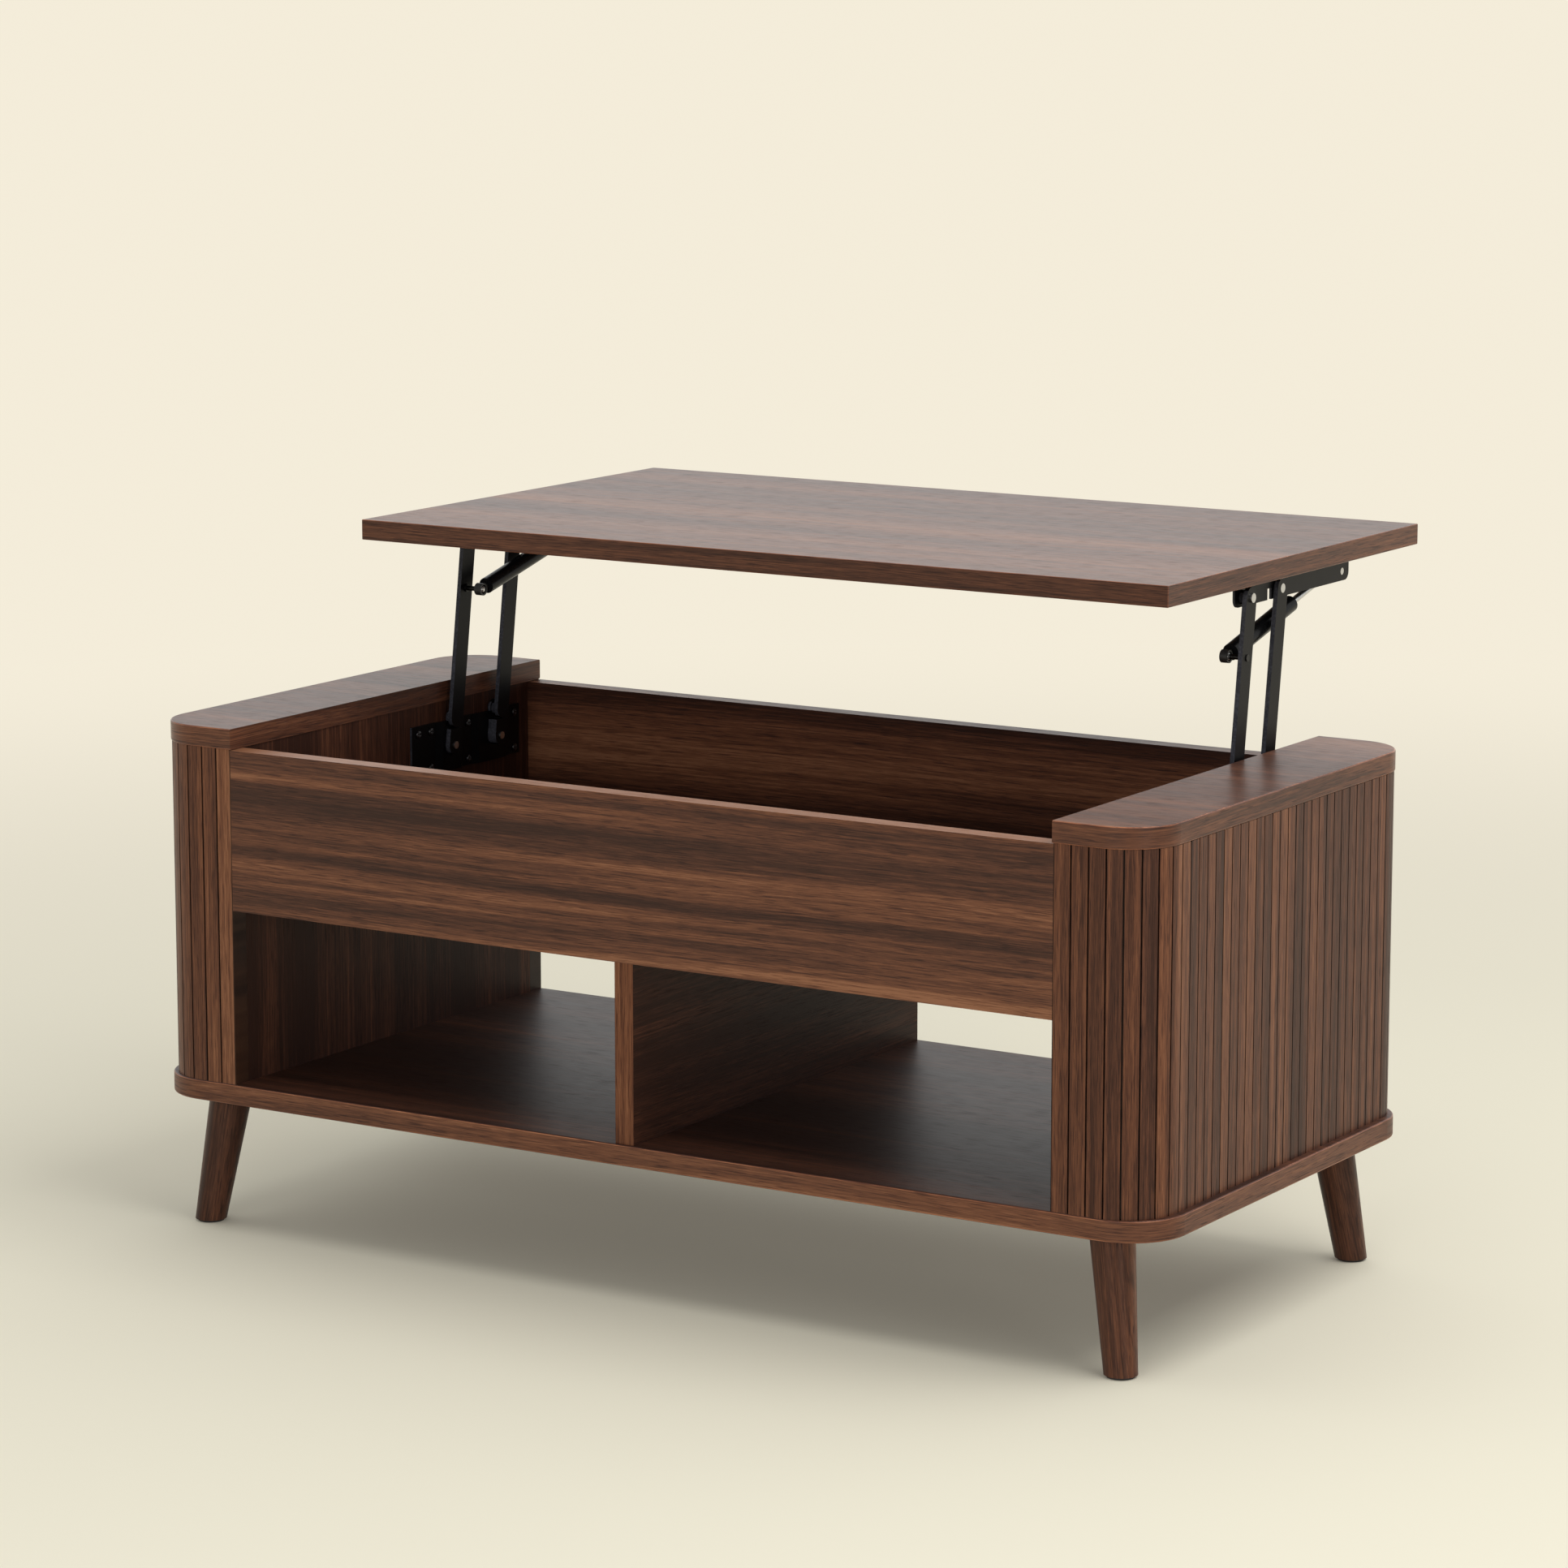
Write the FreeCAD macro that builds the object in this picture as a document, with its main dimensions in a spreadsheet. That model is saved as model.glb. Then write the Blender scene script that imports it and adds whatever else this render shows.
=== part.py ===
import FreeCAD, Part
import math
import os
import Sketcher

# Lift top coffee table, in millimetres. X runs along the table, Y from front to back, Z up
# from the floor. The top is drawn raised. The origin is the bottom centre of the box around
# the whole table in that position, so the carcass stands half the top's shift in front of it.

Vector = FreeCAD.Vector
Rotation = FreeCAD.Rotation

SIZES = {
    # carcass
    "board": 18,                # thickness of every board
    "half_depth": 233.5,        # half depth of base, caps and top
    "base_half_length": 497.5,
    "cap_half_length": 491.5,
    "end_half_length": 491,     # half length over the fluted end panels
    "end_half_depth": 232.5,    # half depth over the fluted end panels and long panels
    "base_corner_radius": 50,
    "cap_corner_radius": 46.5,
    "end_corner_radius": 46,
    "edge_easing": 1.5,         # softened edges of base and caps
    "lid_easing": 0.8,
    "cap_inner": 403,           # centre to the cap's inner edge
    "side_inner": 404,          # centre to the compartment's side face
    "lid_half_length": 401.5,
    "base_bottom": 115,
    "base_top": 133,
    "floor_bottom": 287,        # underside of the storage compartment's floor
    "cap_bottom": 428,
    "lid_rest_gap": 0.5,        # closed top to the long panels' top edges
    "seam": 0.1,                # hairline between neighbouring boards
    "divider_half_depth": 230.5,
    # flutes of the end panels
    "flute_width": 1.2,
    "flute_depth": 2.5,
    "front_pitch": 15.5,        # slats on the flat return next to the long panels
    "corner_slats": 6,
    "end_pitch": 14,            # slats on the straight end
    "end_grooves": 12,          # grooves each side of the end's middle
    # legs
    "leg_top_x": 438.8,
    "leg_top_y": 194.2,
    "leg_top_radius": 18.7,
    "leg_foot_x": 454.7,
    "leg_foot_y": 206.7,
    "leg_foot_radius": 13.8,
    "pad_height": 2,
    "pad_radius": 11.5,
    "bolt_radius": 4,
    "bolt_length": 46,
    "bolt_bottom": 82,
    "insert_radius": 6,
    "insert_length": 13,
    # lift linkage, given with the top raised
    "lift_rise": 161,
    "lift_shift": 191,
    "arm_length": 168,          # pivot to pivot
    "arm_width": 18,
    "arm_thick": 4,
    "front_arm_x": 394.2,       # inner face of the front arms
    "rear_arm_x": 389.8,        # inner face of the rear arms
    "upper_pivot_y": 112,
    "pivot_drop": 10.4,         # upper pivots below the top's underside
    "pivot_spacing": 66,
    "pivot_radius": 4,
    "rivet_radius": 3,
    "running_gap": 0.05,        # radial clearance of pins, shafts and dowels
    # lower brackets, pressed plates with flat zones on the panel and raised zones for pivots
    "sheet_thick": 2,
    "raised_x": 398.6,          # inner face of the raised zones
    "lower_bracket_bottom": 364,
    "lower_bracket_top": 410,
    "ear_radius": 8,
    "block_drop": 25,           # stop block's rivet below the lower pivot
    "block_gap": 0.1,
    # upper brackets, angles under the top
    "upper_bracket_x": 387.4,   # inner face of the upright flange
    "upper_bracket_front": 98,
    "upper_bracket_back": 312,
    "upper_bracket_depth": 18.5,
    "upper_bracket_width": 27,
    "upper_bracket_corner": 7,
    # gas springs
    "spring_x": 378.5,
    "stud_drop": 50,            # ball stud below the front arm's upper pivot
    "spring_end_y": 299,
    "stud_radius": 2.2,
    "ball_radius": 4,
    "socket_radius": 5.6,
    "socket_width": 7,
    "tube_start": 9,            # distances along the spring from its lower ball
    "tube_end": 119,
    "tube_radius": 7.3,
    "tube_bore": 6.3,
    "gas_rod_radius": 3,
    # fasteners
    "screw_radius": 1.9,
    "screw_head_radius": 3.5,
    "screw_head_thick": 2,
    "screw_length": 14,
    "base_screw_radius": 3.5,
    "base_screw_length": 50,
    "base_screw_head_radius": 5,
    "base_screw_head_thick": 3,
    "dowel_radius": 4,
    "dowel_length": 30,
    "cam_radius": 7.5,
    "cam_height": 12.5,
    "cam_inset": 24,            # cam centre from the board's edge
    "cam_bolt_radius": 3,
}

doc = FreeCAD.newDocument("LiftTopTable")
sheet = doc.addObject("Spreadsheet::Sheet", "Sizes")
SUB_PARTS = []


def add_size(row, alias, value):
    cell = "B" + str(row)
    sheet.set("A" + str(row), alias)
    sheet.set(cell, repr(value))
    sheet.setAlias(cell, alias)


def fill_sheet():
    """Writes the driving sizes, then what the linkage's geometry gives from them."""
    for row, (alias, value) in enumerate(SIZES.items(), start=1):
        add_size(row, alias, value)
    rise, shift, arm = SIZES["lift_rise"], SIZES["lift_shift"], SIZES["arm_length"]
    travel = math.hypot(rise, shift)
    lean = math.atan2(shift, rise) - math.acos(travel / (2 * arm))
    upper_z = SIZES["cap_bottom"] + rise - SIZES["pivot_drop"]
    lower_y = SIZES["upper_pivot_y"] - arm * math.sin(lean)
    lower_z = upper_z - arm * math.cos(lean)
    stud_y = SIZES["upper_pivot_y"] - SIZES["stud_drop"] * math.sin(lean)
    stud_z = upper_z - SIZES["stud_drop"] * math.cos(lean)
    spring_y = SIZES["spring_end_y"] - stud_y
    spring_z = upper_z - stud_z
    derived = {
        "carcass_y": -shift / 2,
        "lid_bottom": SIZES["cap_bottom"] + rise,
        "lean": math.degrees(lean),
        "upper_pivot_z": upper_z,
        "lower_pivot_y": lower_y,
        "lower_pivot_z": lower_z,
        "stud_y": stud_y,
        "stud_z": stud_z,
        "spring_length": math.hypot(spring_y, spring_z),
        "spring_tilt": math.degrees(math.atan2(spring_z, spring_y)),
    }
    for row, (alias, value) in enumerate(derived.items(), start=len(SIZES) + 1):
        add_size(row, alias, value)
    doc.recompute()


def size(expression):
    """The number that an expression of the sheet's aliases gives."""
    return float(sheet.evalExpression(expression))


def bind_placement(part, y="0", z="0", x="0", angle="0", origin="Sizes.carcass_y"):
    """Places a sub-part from carcass coordinates, turned about X by an angle in degrees. A
    member of a group that is placed as a whole takes "0" as its origin."""
    part.Placement = FreeCAD.Placement(Vector(), Rotation(Vector(1, 0, 0), 1))
    part.setExpression("Placement.Base.x", x)
    part.setExpression("Placement.Base.y", f"{origin} + {y}")
    part.setExpression("Placement.Base.z", z)
    part.setExpression("Placement.Rotation.Angle", angle)


def register(part, name, **placement):
    part.Label = name
    bind_placement(part, **placement)
    SUB_PARTS.append(part)
    return part


# ---- PartDesign helpers ----

def new_body(name):
    body = doc.addObject("PartDesign::Body", name)
    body.Label = name
    return body


def new_sketch(body, plane, offset="0"):
    sketch = body.newObject("Sketcher::SketchObject", body.Name + "_sketch")
    origin_plane = next(f for f in body.Origin.OriginFeatures if f.Role == plane)
    sketch.AttachmentSupport = (origin_plane, [""])
    sketch.MapMode = "FlatFace"
    sketch.setExpression("AttachmentOffset.Base.z", offset)
    return sketch


def bind_point(sketch, geometry, vertex, x, y):
    """Ties one point of a sketch to two expressions."""
    for kind, expression in (("DistanceX", x), ("DistanceY", y)):
        constraint = Sketcher.Constraint(kind, -1, 1, geometry, vertex, size(expression))
        index = sketch.addConstraint(constraint)
        sketch.setExpression(f"Constraints[{index}]", expression)


def polygon(sketch, points):
    """Draws a closed outline through points given as pairs of expressions."""
    first = sketch.GeometryCount
    corners = [Vector(size(x), size(y), 0) for x, y in points]
    count = len(corners)
    for index, corner in enumerate(corners):
        sketch.addGeometry(Part.LineSegment(corner, corners[(index + 1) % count]), False)
    for index in range(count):
        following = first + (index + 1) % count
        sketch.addConstraint(Sketcher.Constraint("Coincident", first + index, 2, following, 1))
    for index, (x, y) in enumerate(points):
        bind_point(sketch, first + index, 1, x, y)


def rectangle(sketch, left, right, low, high):
    polygon(sketch, [(left, low), (right, low), (right, high), (left, high)])


def circle(sketch, x, y, radius):
    centre = Vector(size(x), size(y), 0)
    index = sketch.addGeometry(Part.Circle(centre, Vector(0, 0, 1), size(radius)), False)
    bind_point(sketch, index, 3, x, y)
    constraint = sketch.addConstraint(Sketcher.Constraint("Radius", index, size(radius)))
    sketch.setExpression(f"Constraints[{constraint}]", radius)


def pad(body, sketch, length):
    feature = body.newObject("PartDesign::Pad", body.Name + "_pad")
    feature.Profile = sketch
    feature.setExpression("Length", length)
    doc.recompute()
    return feature


def pocket(body, sketch, depth, reverse=False):
    """Cuts against the sketch's normal, or along it when reversed, and checks that it cut."""
    before = body.Shape.Volume
    feature = body.newObject("PartDesign::Pocket", body.Name + "_pocket")
    feature.Profile = sketch
    feature.Reversed = reverse
    feature.setExpression("Length", depth)
    doc.recompute()
    if not feature.Shape.Volume < before - 0.1:
        raise RuntimeError(f"{feature.Name} cuts nothing")
    return feature


def drill(body, plane, offset, centres, radius, depth, reverse=False):
    """Round holes with centres given as pairs of expressions in the plane."""
    sketch = new_sketch(body, plane, offset)
    for x, y in centres:
        circle(sketch, x, y, radius)
    pocket(body, sketch, depth, reverse)


def edges_where(shape, test):
    """Names of the edges whose bounding box passes a test."""
    return [f"Edge{i}" for i, edge in enumerate(shape.Edges, start=1) if test(edge.BoundBox)]


def round_edges(body, test, radius):
    base = body.Tip
    feature = body.newObject("PartDesign::Fillet", body.Name + "_round")
    feature.Base = (base, edges_where(base.Shape, test))
    feature.setExpression("Radius", radius)
    doc.recompute()
    return feature


def near(value, target):
    return abs(value - target) < 0.01


def upright_at(x_values, y_values):
    """Tests for a vertical edge at one of the given places."""
    def test(box):
        vertical = near(box.XLength, 0) and near(box.YLength, 0)
        at_x = any(near(box.XMin, x) for x in x_values)
        return vertical and at_x and any(near(box.YMin, y) for y in y_values)
    return test


def board_body(name, left, right, front, back, bottom, height):
    """A board: a rectangle on the XY plane, padded upwards."""
    body = new_body(name)
    sketch = new_sketch(body, "XY_Plane", bottom)
    rectangle(sketch, left, right, front, back)
    pad(body, sketch, height)
    return body


# ---- groups of round parts made of primitives ----

AXIS_TURNS = {
    "X": Rotation(Vector(0, 1, 0), 90),
    "Y": Rotation(Vector(1, 0, 0), -90),
    "Z": Rotation(),
}


def rod(name, radius, length, x, y, z, axis="Z"):
    """A cylinder from a point along +X, +Y or +Z."""
    part = doc.addObject("Part::Cylinder", name)
    part.Placement = FreeCAD.Placement(Vector(), AXIS_TURNS[axis])
    part.setExpression("Radius", radius)
    part.setExpression("Height", length)
    part.setExpression("Placement.Base.x", x)
    part.setExpression("Placement.Base.y", y)
    part.setExpression("Placement.Base.z", z)
    return part


def ball(name, radius, x, y, z):
    part = doc.addObject("Part::Sphere", name)
    part.Placement = FreeCAD.Placement(Vector(), AXIS_TURNS["X"])
    part.setExpression("Radius", radius)
    part.setExpression("Placement.Base.x", x)
    part.setExpression("Placement.Base.y", y)
    part.setExpression("Placement.Base.z", z)
    return part


def joined(name, pieces):
    part = doc.addObject("Part::MultiFuse", name)
    part.Shapes = pieces
    return part


def register_group(name, pieces):
    register(joined(name, pieces), name)


def cut(name, base, tool):
    part = doc.addObject("Part::Cut", name)
    part.Base = base
    part.Tool = tool
    return part


def rods_along_x(name, stretches, y, z, sign):
    """Coaxial cylinders, each from one X to another, mirrored to the table's other side."""
    rods = []
    for index, (radius, inner, outer) in enumerate(stretches):
        start = inner if sign > 0 else f"-({outer})"
        length = f"({outer}) - ({inner})"
        rods.append(rod(f"{name}_{index}", radius, length, start, y, z, "X"))
    return rods


SIDES = (("left", -1), ("right", 1))
ENDS = (("front", -1), ("back", 1))
CORNERS = [(end + "_" + side, x_sign, y_sign) for end, y_sign in ENDS for side, x_sign in SIDES]

LONG_SCREW_ROWS = ("-150", "0", "150")                  # screws along the panels' lower edges
CAP_DOWEL_ROWS = ("-190", "-60", "60", "190")
FLOOR_DOWEL_ROWS = ("-140", "0", "140")
DIVIDER_DOWEL_ROWS = ("-170", "170")
CAM_COLUMNS = ("-320", "-110", "110", "320")
SIDE_MIDDLE = "Sizes.side_inner + Sizes.board / 2"      # middle of an inner side panel
LOOSE_DOWEL = "Sizes.dowel_radius + Sizes.running_gap"


def slab_start(sign, inner, thick):
    """Where a slab between two X planes starts, on either side of the table."""
    return inner if sign > 0 else f"-({inner} + {thick})"


def mirrored(sign, low, high):
    """A left and right edge for a stretch of X on either side of the table."""
    return (low, high) if sign > 0 else (f"-({high})", f"-({low})")


# ---- carcass ----

def make_base_board():
    body = board_body("base_board", "-Sizes.base_half_length", "Sizes.base_half_length",
                      "-Sizes.half_depth", "Sizes.half_depth", "Sizes.base_bottom", "Sizes.board")
    length, depth = size("Sizes.base_half_length"), size("Sizes.half_depth")
    round_edges(body, upright_at((-length, length), (-depth, depth)), "Sizes.base_corner_radius")
    bottom, top = size("Sizes.base_bottom"), size("Sizes.base_top")
    round_edges(body, lambda box: near(box.ZLength, 0) and (near(box.ZMin, top) or near(box.ZMin, bottom)),
                "Sizes.edge_easing")
    columns = ("0", SIDE_MIDDLE, f"-({SIDE_MIDDLE})")
    screws = [(x, y) for x in columns for y in LONG_SCREW_ROWS]
    drill(body, "XY_Plane", "Sizes.base_bottom", screws,
          "Sizes.base_screw_radius + Sizes.running_gap", "Sizes.board", reverse=True)
    drill(body, "XY_Plane", "Sizes.base_bottom", screws,
          "Sizes.base_screw_head_radius + Sizes.running_gap", "Sizes.base_screw_head_thick",
          reverse=True)
    inserts = [(f"{x} * Sizes.leg_top_x", f"{y} * Sizes.leg_top_y") for _, x, y in CORNERS]
    drill(body, "XY_Plane", "Sizes.base_bottom", inserts,
          "Sizes.insert_radius + Sizes.running_gap", "Sizes.insert_length + 1", reverse=True)
    register(body, "base_board")


def make_end_cap(side, sign):
    left, right = mirrored(sign, "Sizes.cap_inner", "Sizes.cap_half_length")
    body = board_body("end_cap_" + side, left, right, "-Sizes.half_depth", "Sizes.half_depth",
                      "Sizes.cap_bottom", "Sizes.board")
    outer, depth = sign * size("Sizes.cap_half_length"), size("Sizes.half_depth")
    round_edges(body, upright_at((outer,), (-depth, depth)), "Sizes.cap_corner_radius")
    inner = sign * size("Sizes.cap_inner")
    round_edges(body, lambda box: near(box.ZLength, 0) and not (near(box.XLength, 0)
                and near(box.XMin, inner)), "Sizes.edge_easing")
    dowels = [(f"{sign} * ({SIDE_MIDDLE})", y) for y in CAP_DOWEL_ROWS]
    drill(body, "XY_Plane", "Sizes.cap_bottom", dowels, LOOSE_DOWEL, "12.5", reverse=True)
    register(body, "end_cap_" + side)


def flute_stations():
    """Places and outward angles of one end panel's grooves, from the right-hand front return
    round the corner and along half of the end, on the panel's outer face."""
    radius = size("Sizes.end_corner_radius")
    centre_x = size("Sizes.end_half_length") - radius
    centre_y = size("Sizes.end_half_depth") - radius
    flat = centre_x - size("Sizes.side_inner")
    arc = radius * math.pi / 2
    last_end_groove = size("Sizes.end_grooves * Sizes.end_pitch")
    slats_before_corner = 3
    start = slats_before_corner * size("Sizes.front_pitch")
    finish = flat + arc + centre_y - last_end_groove
    corner_slats = int(size("Sizes.corner_slats"))
    along = [index * size("Sizes.front_pitch") for index in range(1, slats_before_corner)]
    along += [start + (finish - start) * index / corner_slats for index in range(corner_slats)]
    stations = []
    for distance in along:
        if distance <= flat:
            stations.append((size("Sizes.side_inner") + distance, -centre_y - radius, -math.pi / 2))
        elif distance <= flat + arc:
            angle = (distance - flat) / radius - math.pi / 2
            place = (centre_x + radius * math.cos(angle), -centre_y + radius * math.sin(angle))
            stations.append((*place, angle))
        else:
            stations.append((centre_x + radius, distance - flat - arc - centre_y, 0))
    for index in range(int(size("Sizes.end_grooves"))):
        y = size("Sizes.end_pitch") * index - last_end_groove
        stations.append((centre_x + radius, y, 0))
    return stations


def draw_flute(sketch, x, y, angle):
    """One groove's section: a narrow slot across the outer face."""
    outward = Vector(math.cos(angle), math.sin(angle), 0)
    across = Vector(-math.sin(angle), math.cos(angle), 0) * (size("Sizes.flute_width") / 2)
    mouth = Vector(x, y, 0) + outward
    floor = Vector(x, y, 0) - outward * size("Sizes.flute_depth")
    corners = [mouth - across, mouth + across, floor + across, floor - across]
    for start, end in zip(corners, corners[1:] + corners[:1]):
        sketch.addGeometry(Part.LineSegment(start, end), False)


def make_fluted_panel(side, sign):
    """A board bent round both corners, with vertical grooves all along its outer face."""
    left, right = mirrored(sign, "Sizes.side_inner", "Sizes.end_half_length")
    height = "Sizes.cap_bottom - Sizes.base_top"
    body = board_body("fluted_panel_" + side, left, right, "-Sizes.end_half_depth",
                      "Sizes.end_half_depth", "Sizes.base_top", height)
    outer, depth = sign * size("Sizes.end_half_length"), size("Sizes.end_half_depth")
    round_edges(body, upright_at((outer,), (-depth, depth)), "Sizes.end_corner_radius")
    hollow = new_sketch(body, "XY_Plane", "Sizes.base_top")
    inner_left, inner_right = mirrored(sign, "Sizes.side_inner - 5",
                                       "Sizes.end_half_length - Sizes.board")
    rectangle(hollow, inner_left, inner_right, "-(Sizes.end_half_depth - Sizes.board)",
              "Sizes.end_half_depth - Sizes.board")
    pocket(body, hollow, height, reverse=True)
    wall = outer - sign * size("Sizes.board")
    inner_depth = depth - size("Sizes.board")
    round_edges(body, upright_at((wall,), (-inner_depth, inner_depth)),
                "Sizes.end_corner_radius - Sizes.board")
    grooves = new_sketch(body, "XY_Plane", "Sizes.base_top")
    for x, y, angle in flute_stations():
        turned = angle if sign > 0 else math.pi - angle
        draw_flute(grooves, sign * x, y, turned)
        draw_flute(grooves, sign * x, -y, -turned)
    draw_flute(grooves, sign * size("Sizes.end_half_length"), 0, 0 if sign > 0 else math.pi)
    pocket(body, grooves, height, reverse=True)
    register(body, "fluted_panel_" + side)


def lower_screw_places():
    """Y and Z of the screws that hold a lower bracket to its side panel."""
    low, high = "369.7", "402.6"
    return [("39", high), ("58", high), ("58", low), ("116", high), ("116", low),
            ("189", high), ("189", low)]


def make_inner_side_panel(side, sign):
    left, right = mirrored(sign, "Sizes.side_inner", "Sizes.side_inner + Sizes.board")
    depth = "Sizes.end_half_depth - Sizes.board - Sizes.seam"
    body = board_body("inner_side_panel_" + side, left, right, f"-({depth})", depth,
                      "Sizes.base_top", "Sizes.cap_bottom - Sizes.base_top")
    middle = f"{sign} * ({SIDE_MIDDLE})"
    drill(body, "XY_Plane", "Sizes.base_top", [(middle, y) for y in LONG_SCREW_ROWS],
          "Sizes.base_screw_radius + Sizes.running_gap", "33", reverse=True)
    drill(body, "XY_Plane", "Sizes.cap_bottom", [(middle, y) for y in CAP_DOWEL_ROWS],
          LOOSE_DOWEL, "18.5")
    face = f"{sign} * Sizes.side_inner"
    drill(body, "YZ_Plane", face, lower_screw_places(), "Sizes.screw_radius + Sizes.running_gap",
          "Sizes.screw_length - 1", reverse=sign > 0)
    floor_middle = "Sizes.floor_bottom + Sizes.board / 2"
    drill(body, "YZ_Plane", face, [(y, floor_middle) for y in FLOOR_DOWEL_ROWS], LOOSE_DOWEL,
          "13", reverse=sign > 0)
    register(body, "inner_side_panel_" + side)


def make_long_panel(end, sign):
    """The compartment's front or back, between the fluted panels."""
    outer = "Sizes.end_half_depth"
    inner = "Sizes.end_half_depth - Sizes.board"
    front, back = mirrored(sign, inner, outer)
    length = "Sizes.side_inner - Sizes.seam"
    height = "Sizes.cap_bottom - Sizes.lid_rest_gap - Sizes.floor_bottom"
    body = board_body(end + "_panel", f"-({length})", length, front, back,
                      "Sizes.floor_bottom", height)
    floor_middle = "Sizes.floor_bottom + Sizes.board / 2"
    drill(body, "XZ_Plane", f"{-sign} * ({inner})", [(x, floor_middle) for x in CAM_COLUMNS],
          "Sizes.cam_bolt_radius + Sizes.running_gap", "11", reverse=sign < 0)
    register(body, end + "_panel")


def make_compartment_floor():
    length = "Sizes.side_inner - Sizes.seam"
    depth = "Sizes.end_half_depth - Sizes.board - Sizes.seam"
    body = board_body("compartment_floor", f"-({length})", length, f"-({depth})", depth,
                      "Sizes.floor_bottom", "Sizes.board")
    middle = "Sizes.floor_bottom + Sizes.board / 2"
    for sign in (-1, 1):
        drill(body, "YZ_Plane", f"{sign} * ({length})", [(y, middle) for y in FLOOR_DOWEL_ROWS],
              LOOSE_DOWEL, "18", reverse=sign < 0)
        cam_y = f"{sign} * ({depth} - Sizes.cam_inset)"
        drill(body, "XY_Plane", "Sizes.floor_bottom", [(x, cam_y) for x in CAM_COLUMNS],
              "Sizes.cam_radius + Sizes.running_gap", "Sizes.cam_height + 0.5", reverse=True)
        drill(body, "XZ_Plane", f"{-sign} * ({depth})", [(x, middle) for x in CAM_COLUMNS],
              "Sizes.cam_bolt_radius + Sizes.running_gap", "Sizes.cam_inset", reverse=sign > 0)
    drill(body, "XY_Plane", "Sizes.floor_bottom", [("0", y) for y in DIVIDER_DOWEL_ROWS],
          LOOSE_DOWEL, "12.5", reverse=True)
    register(body, "compartment_floor")


def make_centre_divider():
    body = board_body("centre_divider", "-Sizes.board / 2", "Sizes.board / 2",
                      "-Sizes.divider_half_depth", "Sizes.divider_half_depth",
                      "Sizes.base_top", "Sizes.floor_bottom - Sizes.base_top")
    drill(body, "XY_Plane", "Sizes.base_top", [("0", y) for y in LONG_SCREW_ROWS],
          "Sizes.base_screw_radius + Sizes.running_gap", "33", reverse=True)
    drill(body, "XY_Plane", "Sizes.floor_bottom", [("0", y) for y in DIVIDER_DOWEL_ROWS],
          LOOSE_DOWEL, "18.5")
    register(body, "centre_divider")


def make_leg(corner, x_sign, y_sign):
    """A tapered leg, splayed outwards, with its ends cut level."""
    body = new_body("leg_" + corner)
    foot = new_sketch(body, "XY_Plane", "Sizes.pad_height")
    circle(foot, f"{x_sign} * Sizes.leg_foot_x", f"{y_sign} * Sizes.leg_foot_y",
           "Sizes.leg_foot_radius")
    top = new_sketch(body, "XY_Plane", "Sizes.base_bottom")
    top_x, top_y = f"{x_sign} * Sizes.leg_top_x", f"{y_sign} * Sizes.leg_top_y"
    circle(top, top_x, top_y, "Sizes.leg_top_radius")
    loft = body.newObject("PartDesign::AdditiveLoft", body.Name + "_loft")
    loft.Profile = foot
    loft.Sections = [top]
    loft.Ruled = True
    doc.recompute()
    drill(body, "XY_Plane", "Sizes.base_bottom", [(top_x, top_y)],
          "Sizes.bolt_radius + Sizes.running_gap", "Sizes.base_bottom - Sizes.bolt_bottom + 1")
    register(body, "leg_" + corner)


def make_leg_fittings():
    bolts, inserts, pads = [], [], []
    for corner, x_sign, y_sign in CORNERS:
        x, y = f"{x_sign} * Sizes.leg_top_x", f"{y_sign} * Sizes.leg_top_y"
        bolts.append(rod("bolt_" + corner, "Sizes.bolt_radius", "Sizes.bolt_length", x, y,
                         "Sizes.bolt_bottom"))
        sleeve = rod("sleeve_" + corner, "Sizes.insert_radius", "Sizes.insert_length", x, y,
                     "Sizes.base_bottom")
        bore = rod("sleeve_bore_" + corner, "Sizes.bolt_radius + Sizes.running_gap",
                   "Sizes.insert_length", x, y, "Sizes.base_bottom")
        inserts.append(cut("insert_" + corner, sleeve, bore))
        pads.append(rod("pad_" + corner, "Sizes.pad_radius", "Sizes.pad_height",
                        f"{x_sign} * Sizes.leg_foot_x", f"{y_sign} * Sizes.leg_foot_y", "0"))
    register_group("leg_bolts", bolts)
    register_group("leg_inserts", inserts)
    register_group("foot_pads", pads)


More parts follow.
